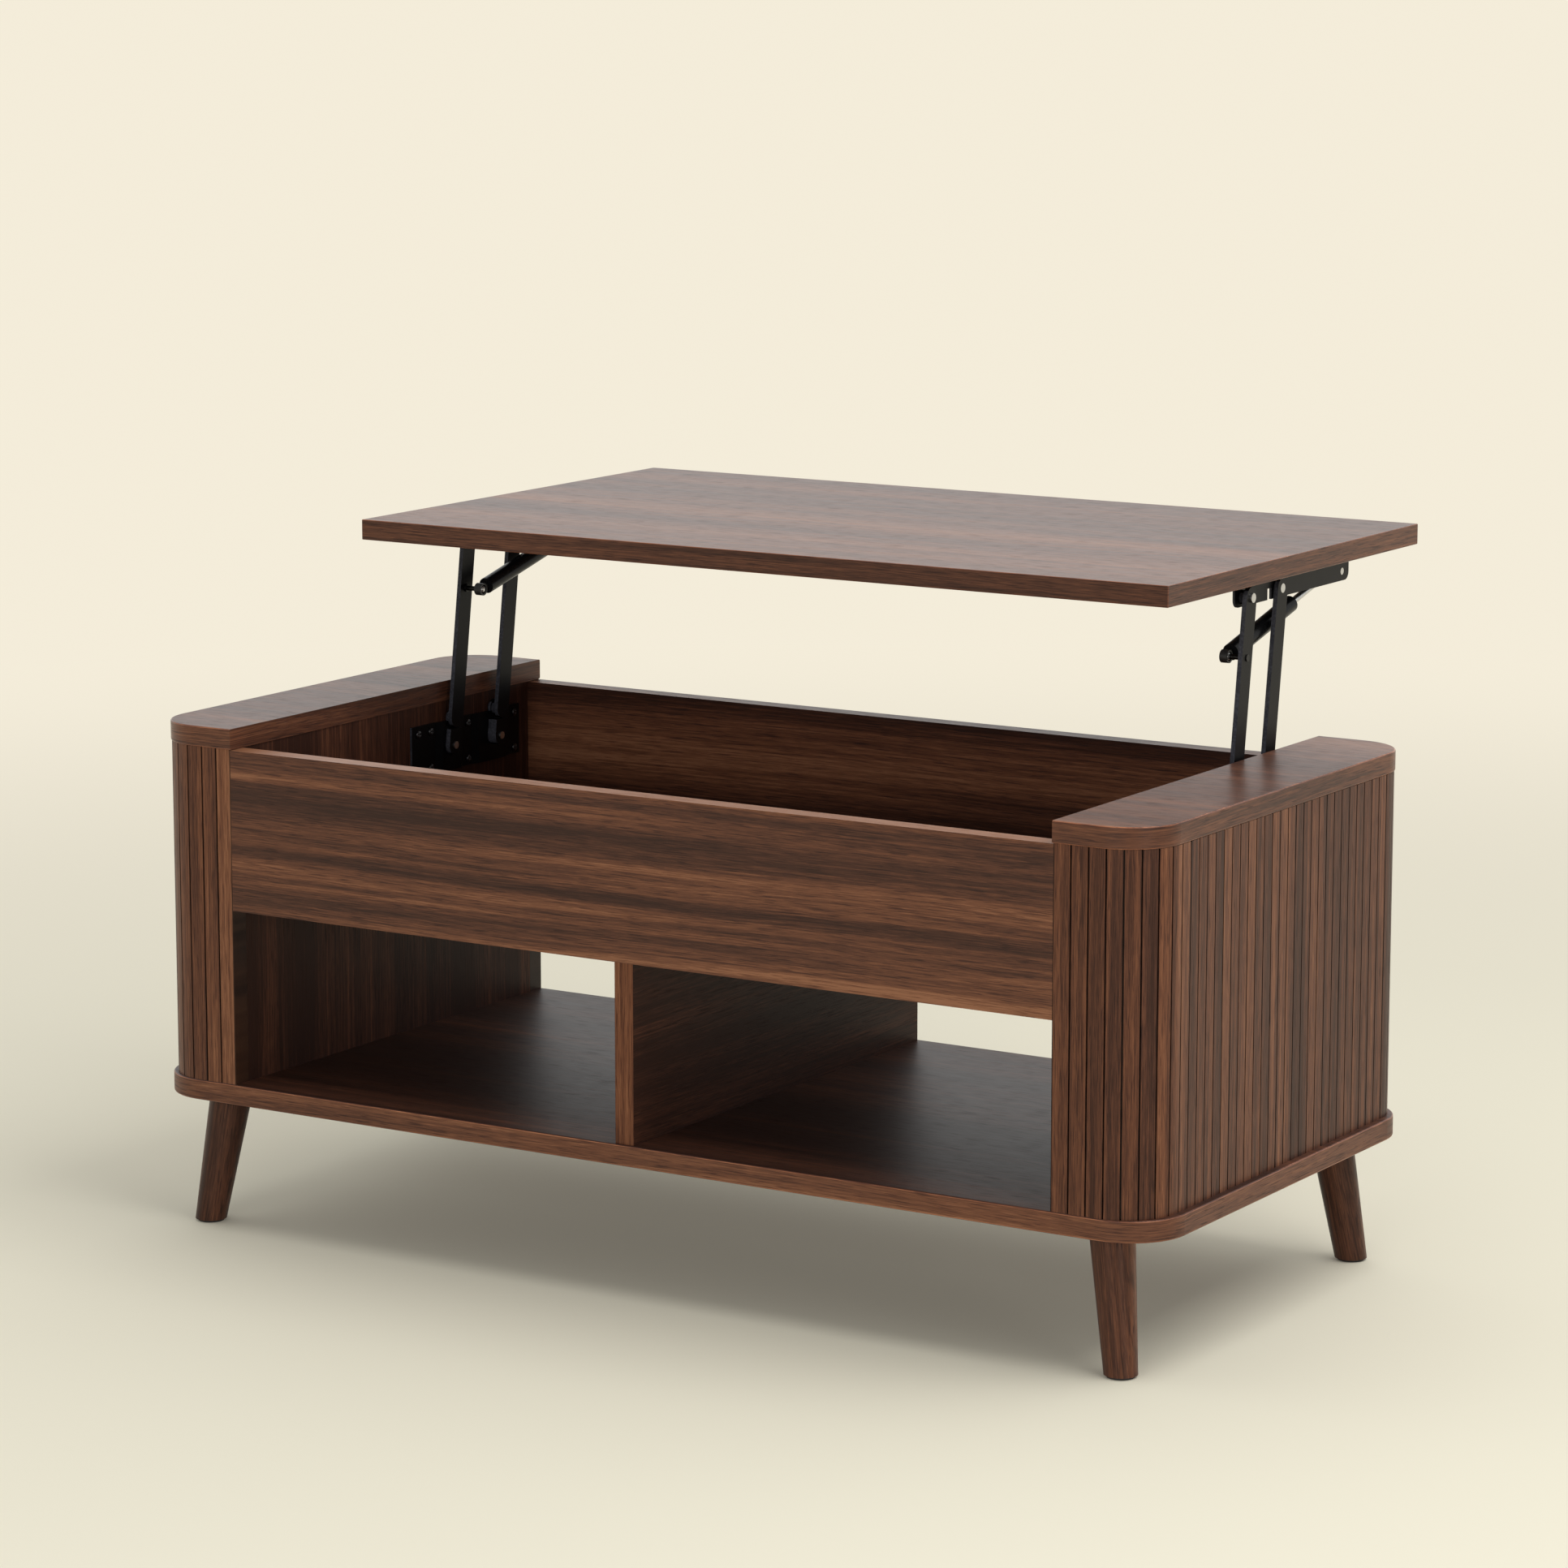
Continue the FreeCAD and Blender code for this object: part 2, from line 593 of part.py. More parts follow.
def make_carcass_fasteners():
    screws, cap_dowels, floor_dowels, cams, cam_bolts, divider_dowels = [], [], [], [], [], []
    columns = {"left": f"-({SIDE_MIDDLE})", "middle": "0", "right": SIDE_MIDDLE}
    for column, x in columns.items():
        for row, y in enumerate(LONG_SCREW_ROWS):
            name = f"base_screw_{column}_{row}"
            screws.append(rod(name + "_shank", "Sizes.base_screw_radius",
                              "Sizes.base_screw_length", x, y, "Sizes.base_bottom"))
            screws.append(rod(name + "_head", "Sizes.base_screw_head_radius",
                              "Sizes.base_screw_head_thick", x, y, "Sizes.base_bottom"))
    middle = "Sizes.floor_bottom + Sizes.board / 2"
    for side, sign in SIDES:
        for row, y in enumerate(CAP_DOWEL_ROWS):
            cap_dowels.append(rod(f"cap_dowel_{side}_{row}", "Sizes.dowel_radius",
                                  "Sizes.dowel_length", f"{sign} * ({SIDE_MIDDLE})", y,
                                  "Sizes.cap_bottom - 18"))
        start = "Sizes.side_inner - 17.5" if sign > 0 else "-(Sizes.side_inner + 12.5)"
        for row, y in enumerate(FLOOR_DOWEL_ROWS):
            floor_dowels.append(rod(f"floor_dowel_{side}_{row}", "Sizes.dowel_radius",
                                    "Sizes.dowel_length", start, y, middle, "X"))
    edge = "Sizes.end_half_depth - Sizes.board - Sizes.seam"
    bolt_inner = f"{edge} - Sizes.cam_inset + Sizes.cam_radius + 0.1"
    bolt_outer = "Sizes.end_half_depth - Sizes.board + 10.5"
    for end, sign in ENDS:
        bolt_y = bolt_inner if sign > 0 else f"-({bolt_outer})"
        for column, x in enumerate(CAM_COLUMNS):
            cams.append(rod(f"cam_{end}_{column}", "Sizes.cam_radius", "Sizes.cam_height", x,
                            f"{sign} * ({edge} - Sizes.cam_inset)", "Sizes.floor_bottom"))
            cam_bolts.append(rod(f"cam_bolt_{end}_{column}", "Sizes.cam_bolt_radius",
                                 f"({bolt_outer}) - ({bolt_inner})", x, bolt_y, middle, "Y"))
    for row, y in enumerate(DIVIDER_DOWEL_ROWS):
        divider_dowels.append(rod(f"divider_dowel_{row}", "Sizes.dowel_radius",
                                  "Sizes.dowel_length", "0", y, "Sizes.floor_bottom - 18"))
    groups = {"base_screws": screws, "cap_dowels": cap_dowels, "floor_dowels": floor_dowels,
              "cam_locks": cams, "cam_bolts": cam_bolts, "divider_dowels": divider_dowels}
    for name, pieces in groups.items():
        register_group(name, pieces)


# ---- lift linkage ----

LOWER_FRONT = ("Sizes.lower_pivot_y", "Sizes.lower_pivot_z")
LOWER_REAR = ("Sizes.lower_pivot_y + Sizes.pivot_spacing", "Sizes.lower_pivot_z")
UPPER_FRONT = ("Sizes.upper_pivot_y", "Sizes.upper_pivot_z")
UPPER_REAR = ("Sizes.upper_pivot_y + Sizes.pivot_spacing", "Sizes.upper_pivot_z")
STUD = ("Sizes.stud_y", "Sizes.stud_z")
SPRING_END = ("Sizes.spring_end_y", "Sizes.upper_pivot_z")
ARM_LANES = {"front": "Sizes.front_arm_x", "rear": "Sizes.rear_arm_x"}
LOOSE_PIVOT = "Sizes.pivot_radius + Sizes.running_gap"
LOOSE_RIVET = "Sizes.rivet_radius + Sizes.running_gap"
LOOSE_STUD = "Sizes.stud_radius + Sizes.running_gap"


def make_lower_bracket(side, sign):
    """A pressed plate: three flat zones lie on the panel, and two zones between them stand
    off it, each with an ear that carries an arm's lower pivot."""
    body = new_body("lower_bracket_" + side)
    flat = "Sizes.side_inner - Sizes.sheet_thick"
    stations = [(flat, "29"), (flat, "64"), ("Sizes.raised_x", "72"), ("Sizes.raised_x", "100"),
                (flat, "106"), (flat, "120"), ("Sizes.raised_x", "128"),
                ("Sizes.raised_x", "170"), (flat, "176"), (flat, "197")]
    inner = [(f"{sign} * ({x})", y) for x, y in stations]
    outer = [(f"{sign} * ({x} + Sizes.sheet_thick)", y) for x, y in reversed(stations)]
    profile = new_sketch(body, "XY_Plane", "Sizes.lower_bracket_bottom")
    polygon(profile, inner + outer)
    pad(body, profile, "Sizes.lower_bracket_top - Sizes.lower_bracket_bottom")
    start = slab_start(sign, "Sizes.raised_x", "Sizes.sheet_thick")
    for y, z in (LOWER_FRONT, LOWER_REAR):
        neck = new_sketch(body, "YZ_Plane", start)
        rectangle(neck, f"{y} - Sizes.ear_radius", f"{y} + Sizes.ear_radius",
                  "Sizes.lower_bracket_top - 6", z)
        pad(body, neck, "Sizes.sheet_thick")
        ear = new_sketch(body, "YZ_Plane", start)
        circle(ear, y, z, "Sizes.ear_radius")
        pad(body, ear, "Sizes.sheet_thick")
    through = f"{sign} * (Sizes.side_inner + 1)"
    reverse = sign < 0
    drill(body, "YZ_Plane", through, [LOWER_FRONT, LOWER_REAR], LOOSE_PIVOT, "10", reverse)
    drill(body, "YZ_Plane", through, block_rivet_places(), LOOSE_STUD, "10", reverse)
    drill(body, "YZ_Plane", through, lower_screw_places(),
          "Sizes.screw_radius + Sizes.running_gap", "10", reverse)
    register(body, "lower_bracket_" + side)


def block_rivet_places():
    """A rivet stands below each lower pivot, in line with the raised arm."""
    drop_y = "Sizes.block_drop * sin(Sizes.lean * 1deg)"
    drop_z = "Sizes.block_drop * cos(Sizes.lean * 1deg)"
    return [(f"{y} - {drop_y}", f"{z} - {drop_z}") for y, z in (LOWER_FRONT, LOWER_REAR)]


def arm_blank(name, length):
    """An arm's upright blank about its lower pivot, with a square heel on its rear side."""
    body = new_body(name)
    half = "Sizes.arm_width / 2"
    outlines = new_sketch(body, "YZ_Plane")
    rectangle(outlines, f"-{half}", half, "0", length)
    pad(body, outlines, "Sizes.arm_thick")
    for height in ("0", length):
        end = new_sketch(body, "YZ_Plane")
        circle(end, "0", height, half)
        pad(body, end, "Sizes.arm_thick")
    heel = new_sketch(body, "YZ_Plane")
    rectangle(heel, "0", half, f"-{half}", "0")
    pad(body, heel, "Sizes.arm_thick")
    return body


def make_arm(row, side, sign):
    """A flat steel arm, leaning back past upright. Its upper hole's outer face takes the
    rivet's flush head on the rear arm."""
    body = arm_blank(f"{row}_arm_{side}", "Sizes.arm_length")
    far = "Sizes.arm_thick"
    drill(body, "YZ_Plane", far, [("0", "0")], LOOSE_PIVOT, far)
    holes = [("0", "Sizes.arm_length")]
    drill(body, "YZ_Plane", far, holes, LOOSE_RIVET, far)
    if row == "front":
        drill(body, "YZ_Plane", far, [("0", "Sizes.arm_length - Sizes.stud_drop")], LOOSE_STUD, far)
    else:
        outer_face = far if sign > 0 else "0"
        drill(body, "YZ_Plane", outer_face, holes, "Sizes.rivet_radius + 1.1", "1.1",
              reverse=sign < 0)
    y, z = LOWER_FRONT if row == "front" else LOWER_REAR
    register(body, f"{row}_arm_{side}", x=slab_start(sign, ARM_LANES[row], far), y=y, z=z,
             angle="-Sizes.lean")


def make_stop_blocks():
    """Blocks riveted to the lower brackets, one under each arm's foot. The square heel of the
    raised arm rests on the flat half, and the other half slopes clear of the folded arm."""
    blocks, rivets = [], []
    half = "Sizes.arm_width / 2"
    top = f"-({half} + Sizes.block_gap)"
    outline = [(f"-{half}", "-Sizes.block_drop"), (half, "-Sizes.block_drop"), (half, top),
               ("2", top), (f"-{half}", top + " - 1.8")]
    centre = ("0", "-Sizes.block_drop")
    lowers = (LOWER_FRONT, LOWER_REAR)
    for side, sign in SIDES:
        for row, lower, rivet in zip(ARM_LANES, lowers, block_rivet_places()):
            lane = ARM_LANES[row]
            thick = f"Sizes.raised_x - {lane}"
            block = new_body(f"stop_block_{row}_{side}")
            bar = new_sketch(block, "YZ_Plane")
            polygon(bar, outline)
            pad(block, bar, thick)
            foot = new_sketch(block, "YZ_Plane")
            circle(foot, *centre, half)
            pad(block, foot, thick)
            drill(block, "YZ_Plane", thick, [centre], LOOSE_STUD, thick)
            bind_placement(block, x=slab_start(sign, lane, f"({thick})"), y=lower[0],
                           z=lower[1], angle="-Sizes.lean", origin="0")
            blocks.append(block)
            stretches = [("Sizes.stud_radius", lane + " - 0.5", "Sizes.raised_x + 3"),
                         ("3.4", lane + " - 1.2", lane)]
            rivets += rods_along_x(f"block_rivet_{row}_{side}", stretches, *rivet, sign)
    register_group("stop_blocks", blocks)
    register_group("stop_block_rivets", rivets)


def make_lower_pins():
    """Pivot pins with their heads behind the brackets, flush with the arms' inner faces."""
    pins, spacers = [], []
    for side, sign in SIDES:
        for row, (y, z) in (("front", LOWER_FRONT), ("rear", LOWER_REAR)):
            head = "Sizes.raised_x + Sizes.sheet_thick"
            stretches = [("Sizes.pivot_radius", ARM_LANES[row] + " + 0.05", head + " + 1"),
                         ("Sizes.pivot_radius + 2.5", head, head + " + 2")]
            pins += rods_along_x(f"lower_pin_{row}_{side}", stretches, y, z, sign)
        y, z = LOWER_REAR
        inner = "Sizes.rear_arm_x + Sizes.arm_thick + 0.05"
        spacers.append(ring(f"lower_spacer_{side}", "Sizes.pivot_radius + 2.5", LOOSE_PIVOT,
                            inner, "Sizes.raised_x", y, z, sign))
    register_group("lower_pivot_pins", pins)
    register_group("lower_pivot_spacers", spacers)


def ring(name, outer_radius, inner_radius, inner_x, outer_x, y, z, sign):
    sleeve, = rods_along_x(name + "_sleeve", [(outer_radius, inner_x, outer_x)], y, z, sign)
    bore, = rods_along_x(name + "_bore", [(inner_radius, inner_x, outer_x)], y, z, sign)
    return cut(name, sleeve, bore)


def make_lower_bracket_screws():
    screws = []
    flat = "Sizes.side_inner - Sizes.sheet_thick"
    for side, sign in SIDES:
        for index, (y, z) in enumerate(lower_screw_places()):
            stretches = [("Sizes.screw_head_radius", flat + " - Sizes.screw_head_thick", flat),
                         ("Sizes.screw_radius", flat + " - 0.5", flat + " + Sizes.screw_length")]
            screws += rods_along_x(f"lower_screw_{side}_{index}", stretches, y, z, sign)
    register_group("lower_bracket_screws", screws)


UPPER_SCREW_ROWS = ("128", "200", "252", "302")
UPPER_SCREW_X = "Sizes.upper_bracket_x - 16.4"


def make_upper_bracket(side, sign):
    """An angle under the top. A notch lets the front arm's ball stud in as the top closes."""
    body = new_body("upper_bracket_" + side)
    outer = "Sizes.upper_bracket_x + Sizes.sheet_thick"
    inner = f"{outer} - Sizes.upper_bracket_width"
    low = "Sizes.lid_bottom - Sizes.upper_bracket_depth"
    web = "Sizes.lid_bottom - Sizes.sheet_thick"
    section = [(inner, web), ("Sizes.upper_bracket_x", web), ("Sizes.upper_bracket_x", low),
               (outer, low), (outer, "Sizes.lid_bottom"), (inner, "Sizes.lid_bottom")]
    profile = new_sketch(body, "XZ_Plane", "-Sizes.upper_bracket_back")
    polygon(profile, [(f"{sign} * ({x})", z) for x, z in section])
    pad(body, profile, "Sizes.upper_bracket_back - Sizes.upper_bracket_front")
    bottom = size(low)
    ends = (size("Sizes.upper_bracket_front"), size("Sizes.upper_bracket_back"))
    round_edges(body, lambda box: near(box.ZMin, bottom) and near(box.YLength, 0)
                and near(box.ZLength, 0) and any(near(box.YMin, y) for y in ends),
                "Sizes.upper_bracket_corner")
    beyond = f"{sign} * ({outer} + 1)"
    reverse = sign < 0
    drill(body, "YZ_Plane", beyond, [UPPER_FRONT, UPPER_REAR, SPRING_END], LOOSE_RIVET, "4",
          reverse)
    notch = new_sketch(body, "YZ_Plane", beyond)
    notch_y = "Sizes.upper_pivot_y + Sizes.stud_drop - 0.5"
    rectangle(notch, f"{notch_y} - 3.5", f"{notch_y} + 3.5", low + " - 1",
              "Sizes.upper_pivot_z + 1.4")
    pocket(body, notch, "4", reverse)
    drill(body, "XY_Plane", "Sizes.lid_bottom + 1",
          [(f"{sign} * ({UPPER_SCREW_X})", y) for y in UPPER_SCREW_ROWS],
          "Sizes.screw_radius + Sizes.running_gap", "4")
    register(body, "upper_bracket_" + side)


def make_upper_fasteners():
    """Pivot rivets, the front ones on spacers, the springs' riveted ends and the screws."""
    rivets, spacers, ends, screws = [], [], [], []
    plate = "Sizes.upper_bracket_x"
    for side, sign in SIDES:
        y, z = UPPER_FRONT
        face = "Sizes.front_arm_x + Sizes.arm_thick"
        stretches = [("Sizes.rivet_radius", plate + " - 0.6", face + " + 1"),
                     ("Sizes.rivet_radius + 1", face + " + 0.05", face + " + 1.8"),
                     ("Sizes.rivet_radius + 1", plate + " - 1.2", plate)]
        rivets += rods_along_x(f"upper_rivet_front_{side}", stretches, y, z, sign)
        spacers.append(ring(f"upper_spacer_{side}", "Sizes.pivot_radius + 2", LOOSE_RIVET,
                            plate + " + Sizes.sheet_thick", "Sizes.front_arm_x - 0.05", y, z, sign))
        y, z = UPPER_REAR
        face = "Sizes.rear_arm_x + Sizes.arm_thick"
        stretches = [("Sizes.rivet_radius", plate + " - 0.6", face + " - 0.5"),
                     ("Sizes.rivet_radius + 1", face + " - 1", face + " + 0.1"),
                     ("Sizes.rivet_radius + 1", plate + " - 1.2", plate)]
        rivets += rods_along_x(f"upper_rivet_rear_{side}", stretches, y, z, sign)
        y, z = SPRING_END
        stretches = [("Sizes.rivet_radius", plate + " + 0.05", plate + " + Sizes.sheet_thick + 0.2")]
        ends += rods_along_x(f"spring_rivet_{side}", stretches, y, z, sign)
        for index, y in enumerate(UPPER_SCREW_ROWS):
            x = f"{sign} * ({UPPER_SCREW_X})"
            name = f"upper_screw_{side}_{index}"
            underside = "Sizes.lid_bottom - Sizes.sheet_thick"
            screws.append(rod(name + "_shank", "Sizes.screw_radius", "Sizes.screw_length", x, y,
                              underside + " - 0.5"))
            screws.append(rod(name + "_head", "Sizes.screw_head_radius",
                              "Sizes.screw_head_thick", x, y,
                              underside + " - Sizes.screw_head_thick"))
    register_group("upper_pivot_rivets", rivets)
    register_group("upper_pivot_spacers", spacers)
    register_group("spring_end_rivets", ends)
    register_group("upper_bracket_screws", screws)


def make_lift_top():
    body = board_body("lift_top", "-Sizes.lid_half_length", "Sizes.lid_half_length",
                      "Sizes.lift_shift - Sizes.half_depth", "Sizes.lift_shift + Sizes.half_depth",
                      "Sizes.lid_bottom", "Sizes.board")
    round_edges(body, lambda box: True, "Sizes.lid_easing")
    places = [(f"{sign} * ({UPPER_SCREW_X})", y) for _, sign in SIDES for y in UPPER_SCREW_ROWS]
    drill(body, "XY_Plane", "Sizes.lid_bottom", places, "Sizes.screw_radius + Sizes.running_gap",
          "Sizes.screw_length - Sizes.sheet_thick", reverse=True)
    register(body, "lift_top")


# ---- gas springs, drawn along Z from their lower ball and then tilted ----

SPRING_ANGLE = "Sizes.spring_tilt - 90"


def place_spring_part(part, name, sign):
    register(part, name, x=f"{sign} * Sizes.spring_x", y=STUD[0], z=STUD[1], angle=SPRING_ANGLE)


def socket(name, height, neck):
    """A ring round the ball, across the spring, with a neck along the spring."""
    start = "-Sizes.socket_width / 2"
    housing = rod(name + "_housing", "Sizes.socket_radius", "Sizes.socket_width", start, "0",
                  height, "X")
    hole = rod(name + "_hole", "Sizes.ball_radius + 0.1", "Sizes.socket_width", start, "0",
               height, "X")
    return cut(name + "_socket", joined(name + "_blank", [housing] + neck), hole)


def make_gas_spring(side, sign):
    bore = rod("tube_bore_" + side, "Sizes.tube_bore", "Sizes.tube_end - Sizes.tube_start - 5",
               "0", "0", "Sizes.tube_start + 5")
    neck_hole = rod("tube_neck_hole_" + side, "2.5 + Sizes.running_gap", "3.2", "0", "0",
                    "Sizes.tube_start")
    blank = rod("tube_blank_" + side, "Sizes.tube_radius", "Sizes.tube_end - Sizes.tube_start",
                "0", "0", "Sizes.tube_start")
    tube = cut("gas_cylinder_" + side, blank, joined("tube_cuts_" + side, [bore, neck_hole]))
    place_spring_part(tube, "gas_cylinder_" + side, sign)

    neck = rod("lower_neck_" + side, "2.5", "7.2", "0", "0", "4.8")
    place_spring_part(socket("lower_" + side, "0", [neck]),
                      "cylinder_end_fitting_" + side, sign)

    plug = rod("guide_plug_" + side, "Sizes.tube_bore - Sizes.running_gap", "9", "0", "0",
               "Sizes.tube_end - 8")
    lip = rod("guide_lip_" + side, "Sizes.tube_radius", "1.5", "0", "0", "Sizes.tube_end")
    guide_bore = rod("guide_bore_" + side, "Sizes.gas_rod_radius + Sizes.running_gap", "12", "0",
                     "0", "Sizes.tube_end - 9")
    guide = cut("rod_guide_" + side, joined("guide_blank_" + side, [plug, lip]), guide_bore)
    place_spring_part(guide, "rod_guide_" + side, sign)

    shaft = rod("gas_shaft_" + side, "Sizes.gas_rod_radius", "Sizes.spring_length - 108",
                "0", "0", "100")
    piston = rod("gas_piston_" + side, "Sizes.tube_bore - Sizes.running_gap", "8", "0", "0", "101")
    place_spring_part(joined("gas_rod_" + side, [shaft, piston]), "gas_rod_" + side, sign)

    sleeve = rod("rod_sleeve_" + side, "4.5", "9.5", "0", "0", "Sizes.spring_length - 14")
    sleeve_bore = rod("rod_sleeve_bore_" + side, "Sizes.gas_rod_radius + Sizes.running_gap", "6.5",
                      "0", "0", "Sizes.spring_length - 14.4")
    end = socket("upper_" + side, "Sizes.spring_length", [sleeve])
    place_spring_part(cut("rod_end_" + side, end, sleeve_bore), "rod_end_fitting_" + side, sign)


def make_ball_studs():
    """The lower ball is riveted to the front arm. The upper one turns with the rod's end and
    stops just short of the upper bracket."""
    for side, sign in SIDES:
        outer = "Sizes.front_arm_x + Sizes.arm_thick"
        y, z = STUD
        stretches = [("Sizes.stud_radius", "Sizes.spring_x", outer + " + 0.3"),
                     ("Sizes.stud_radius + 0.8", outer + " + 0.05", outer + " + 0.9"),
                     ("Sizes.stud_radius + 1.3", "Sizes.front_arm_x - 1.5",
                      "Sizes.front_arm_x - 0.05")]
        pieces = rods_along_x("arm_stud_" + side, stretches, y, z, sign)
        pieces.append(ball("arm_ball_" + side, "Sizes.ball_radius", f"{sign} * Sizes.spring_x",
                           y, z))
        register(joined("arm_ball_stud_" + side, pieces), "arm_ball_stud_" + side)
        y, z = SPRING_END
        stretches = [("Sizes.rivet_radius", "Sizes.spring_x", "Sizes.upper_bracket_x - 0.3")]
        pieces = rods_along_x("end_stud_" + side, stretches, y, z, sign)
        pieces.append(ball("end_ball_" + side, "Sizes.ball_radius", f"{sign} * Sizes.spring_x",
                           y, z))
        register(joined("spring_ball_stud_" + side, pieces), "spring_ball_stud_" + side)


def make_table():
    make_base_board()
    for side, sign in SIDES:
        make_end_cap(side, sign)
        make_fluted_panel(side, sign)
        make_inner_side_panel(side, sign)
    for end, sign in ENDS:
        make_long_panel(end, sign)
    make_compartment_floor()
    make_centre_divider()
    for corner, x_sign, y_sign in CORNERS:
        make_leg(corner, x_sign, y_sign)
    make_leg_fittings()
    make_carcass_fasteners()
    make_lift_top()
    for side, sign in SIDES:
        make_lower_bracket(side, sign)
        make_upper_bracket(side, sign)
        make_arm("front", side, sign)
        make_arm("rear", side, sign)
        make_gas_spring(side, sign)
    make_stop_blocks()
    make_lower_pins()
    make_lower_bracket_screws()
    make_upper_fasteners()
    make_ball_studs()


def check_and_write():
    """Stops on any failed object or shape, then writes one STEP file for each sub-part."""
    doc.recompute()
    for item in doc.Objects:
        if "Invalid" in item.State or "Error" in item.State:
            raise RuntimeError(f"{item.Name} failed: {item.State}")
    for part in SUB_PARTS:
        if part.Shape.isNull() or not part.Shape.isValid() or part.Shape.Volume < 1:
            raise RuntimeError(f"{part.Label} has a bad shape")
    os.makedirs("parts", exist_ok=True)
    for part in SUB_PARTS:
        part.Shape.exportStep(f"parts/{part.Label}.step")
    print(len(SUB_PARTS), "sub-parts")


fill_sheet()
make_table()
check_and_write()
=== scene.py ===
import math

import bmesh
import bpy
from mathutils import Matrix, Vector


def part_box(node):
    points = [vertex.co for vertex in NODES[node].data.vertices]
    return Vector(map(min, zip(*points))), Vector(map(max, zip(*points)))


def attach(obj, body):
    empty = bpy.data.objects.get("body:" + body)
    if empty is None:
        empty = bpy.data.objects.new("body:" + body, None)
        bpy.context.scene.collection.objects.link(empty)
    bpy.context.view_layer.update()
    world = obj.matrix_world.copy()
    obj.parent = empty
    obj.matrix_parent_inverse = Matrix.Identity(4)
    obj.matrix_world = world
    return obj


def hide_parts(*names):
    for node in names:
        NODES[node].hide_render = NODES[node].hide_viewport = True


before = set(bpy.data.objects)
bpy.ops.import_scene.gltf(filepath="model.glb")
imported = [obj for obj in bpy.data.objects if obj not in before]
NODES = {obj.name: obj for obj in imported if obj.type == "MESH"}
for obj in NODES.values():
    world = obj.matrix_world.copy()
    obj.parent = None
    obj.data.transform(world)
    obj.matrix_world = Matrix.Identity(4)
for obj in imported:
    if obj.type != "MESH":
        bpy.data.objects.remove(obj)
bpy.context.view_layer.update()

CARCASS_Y = sum(corner.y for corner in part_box("base_board")) / 2   # middle of the carcass
LID_Y = sum(corner.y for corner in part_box("lift_top")) / 2         # middle of the raised top
scene = bpy.context.scene
scene.view_settings.view_transform = "Standard"

# ---- camera ----

CAMERA_PLACE = (2.3355861, -3.8108043, 1.1831809)
CAMERA_DIP = 0.1763             # radians below the horizontal
CAMERA_TURN = 0.559             # radians round from looking along +Y
SENSOR_WIDTH = 36
FOCAL_LENGTH = 119.611

camera_data = bpy.data.cameras.new("camera")
camera_data.sensor_width = SENSOR_WIDTH
camera_data.lens = FOCAL_LENGTH
camera = bpy.data.objects.new("camera", camera_data)
camera.location = CAMERA_PLACE
camera.rotation_euler = (math.pi / 2 - CAMERA_DIP, 0, CAMERA_TURN)
scene.collection.objects.link(camera)
scene.camera = camera


# ---- node trees ----

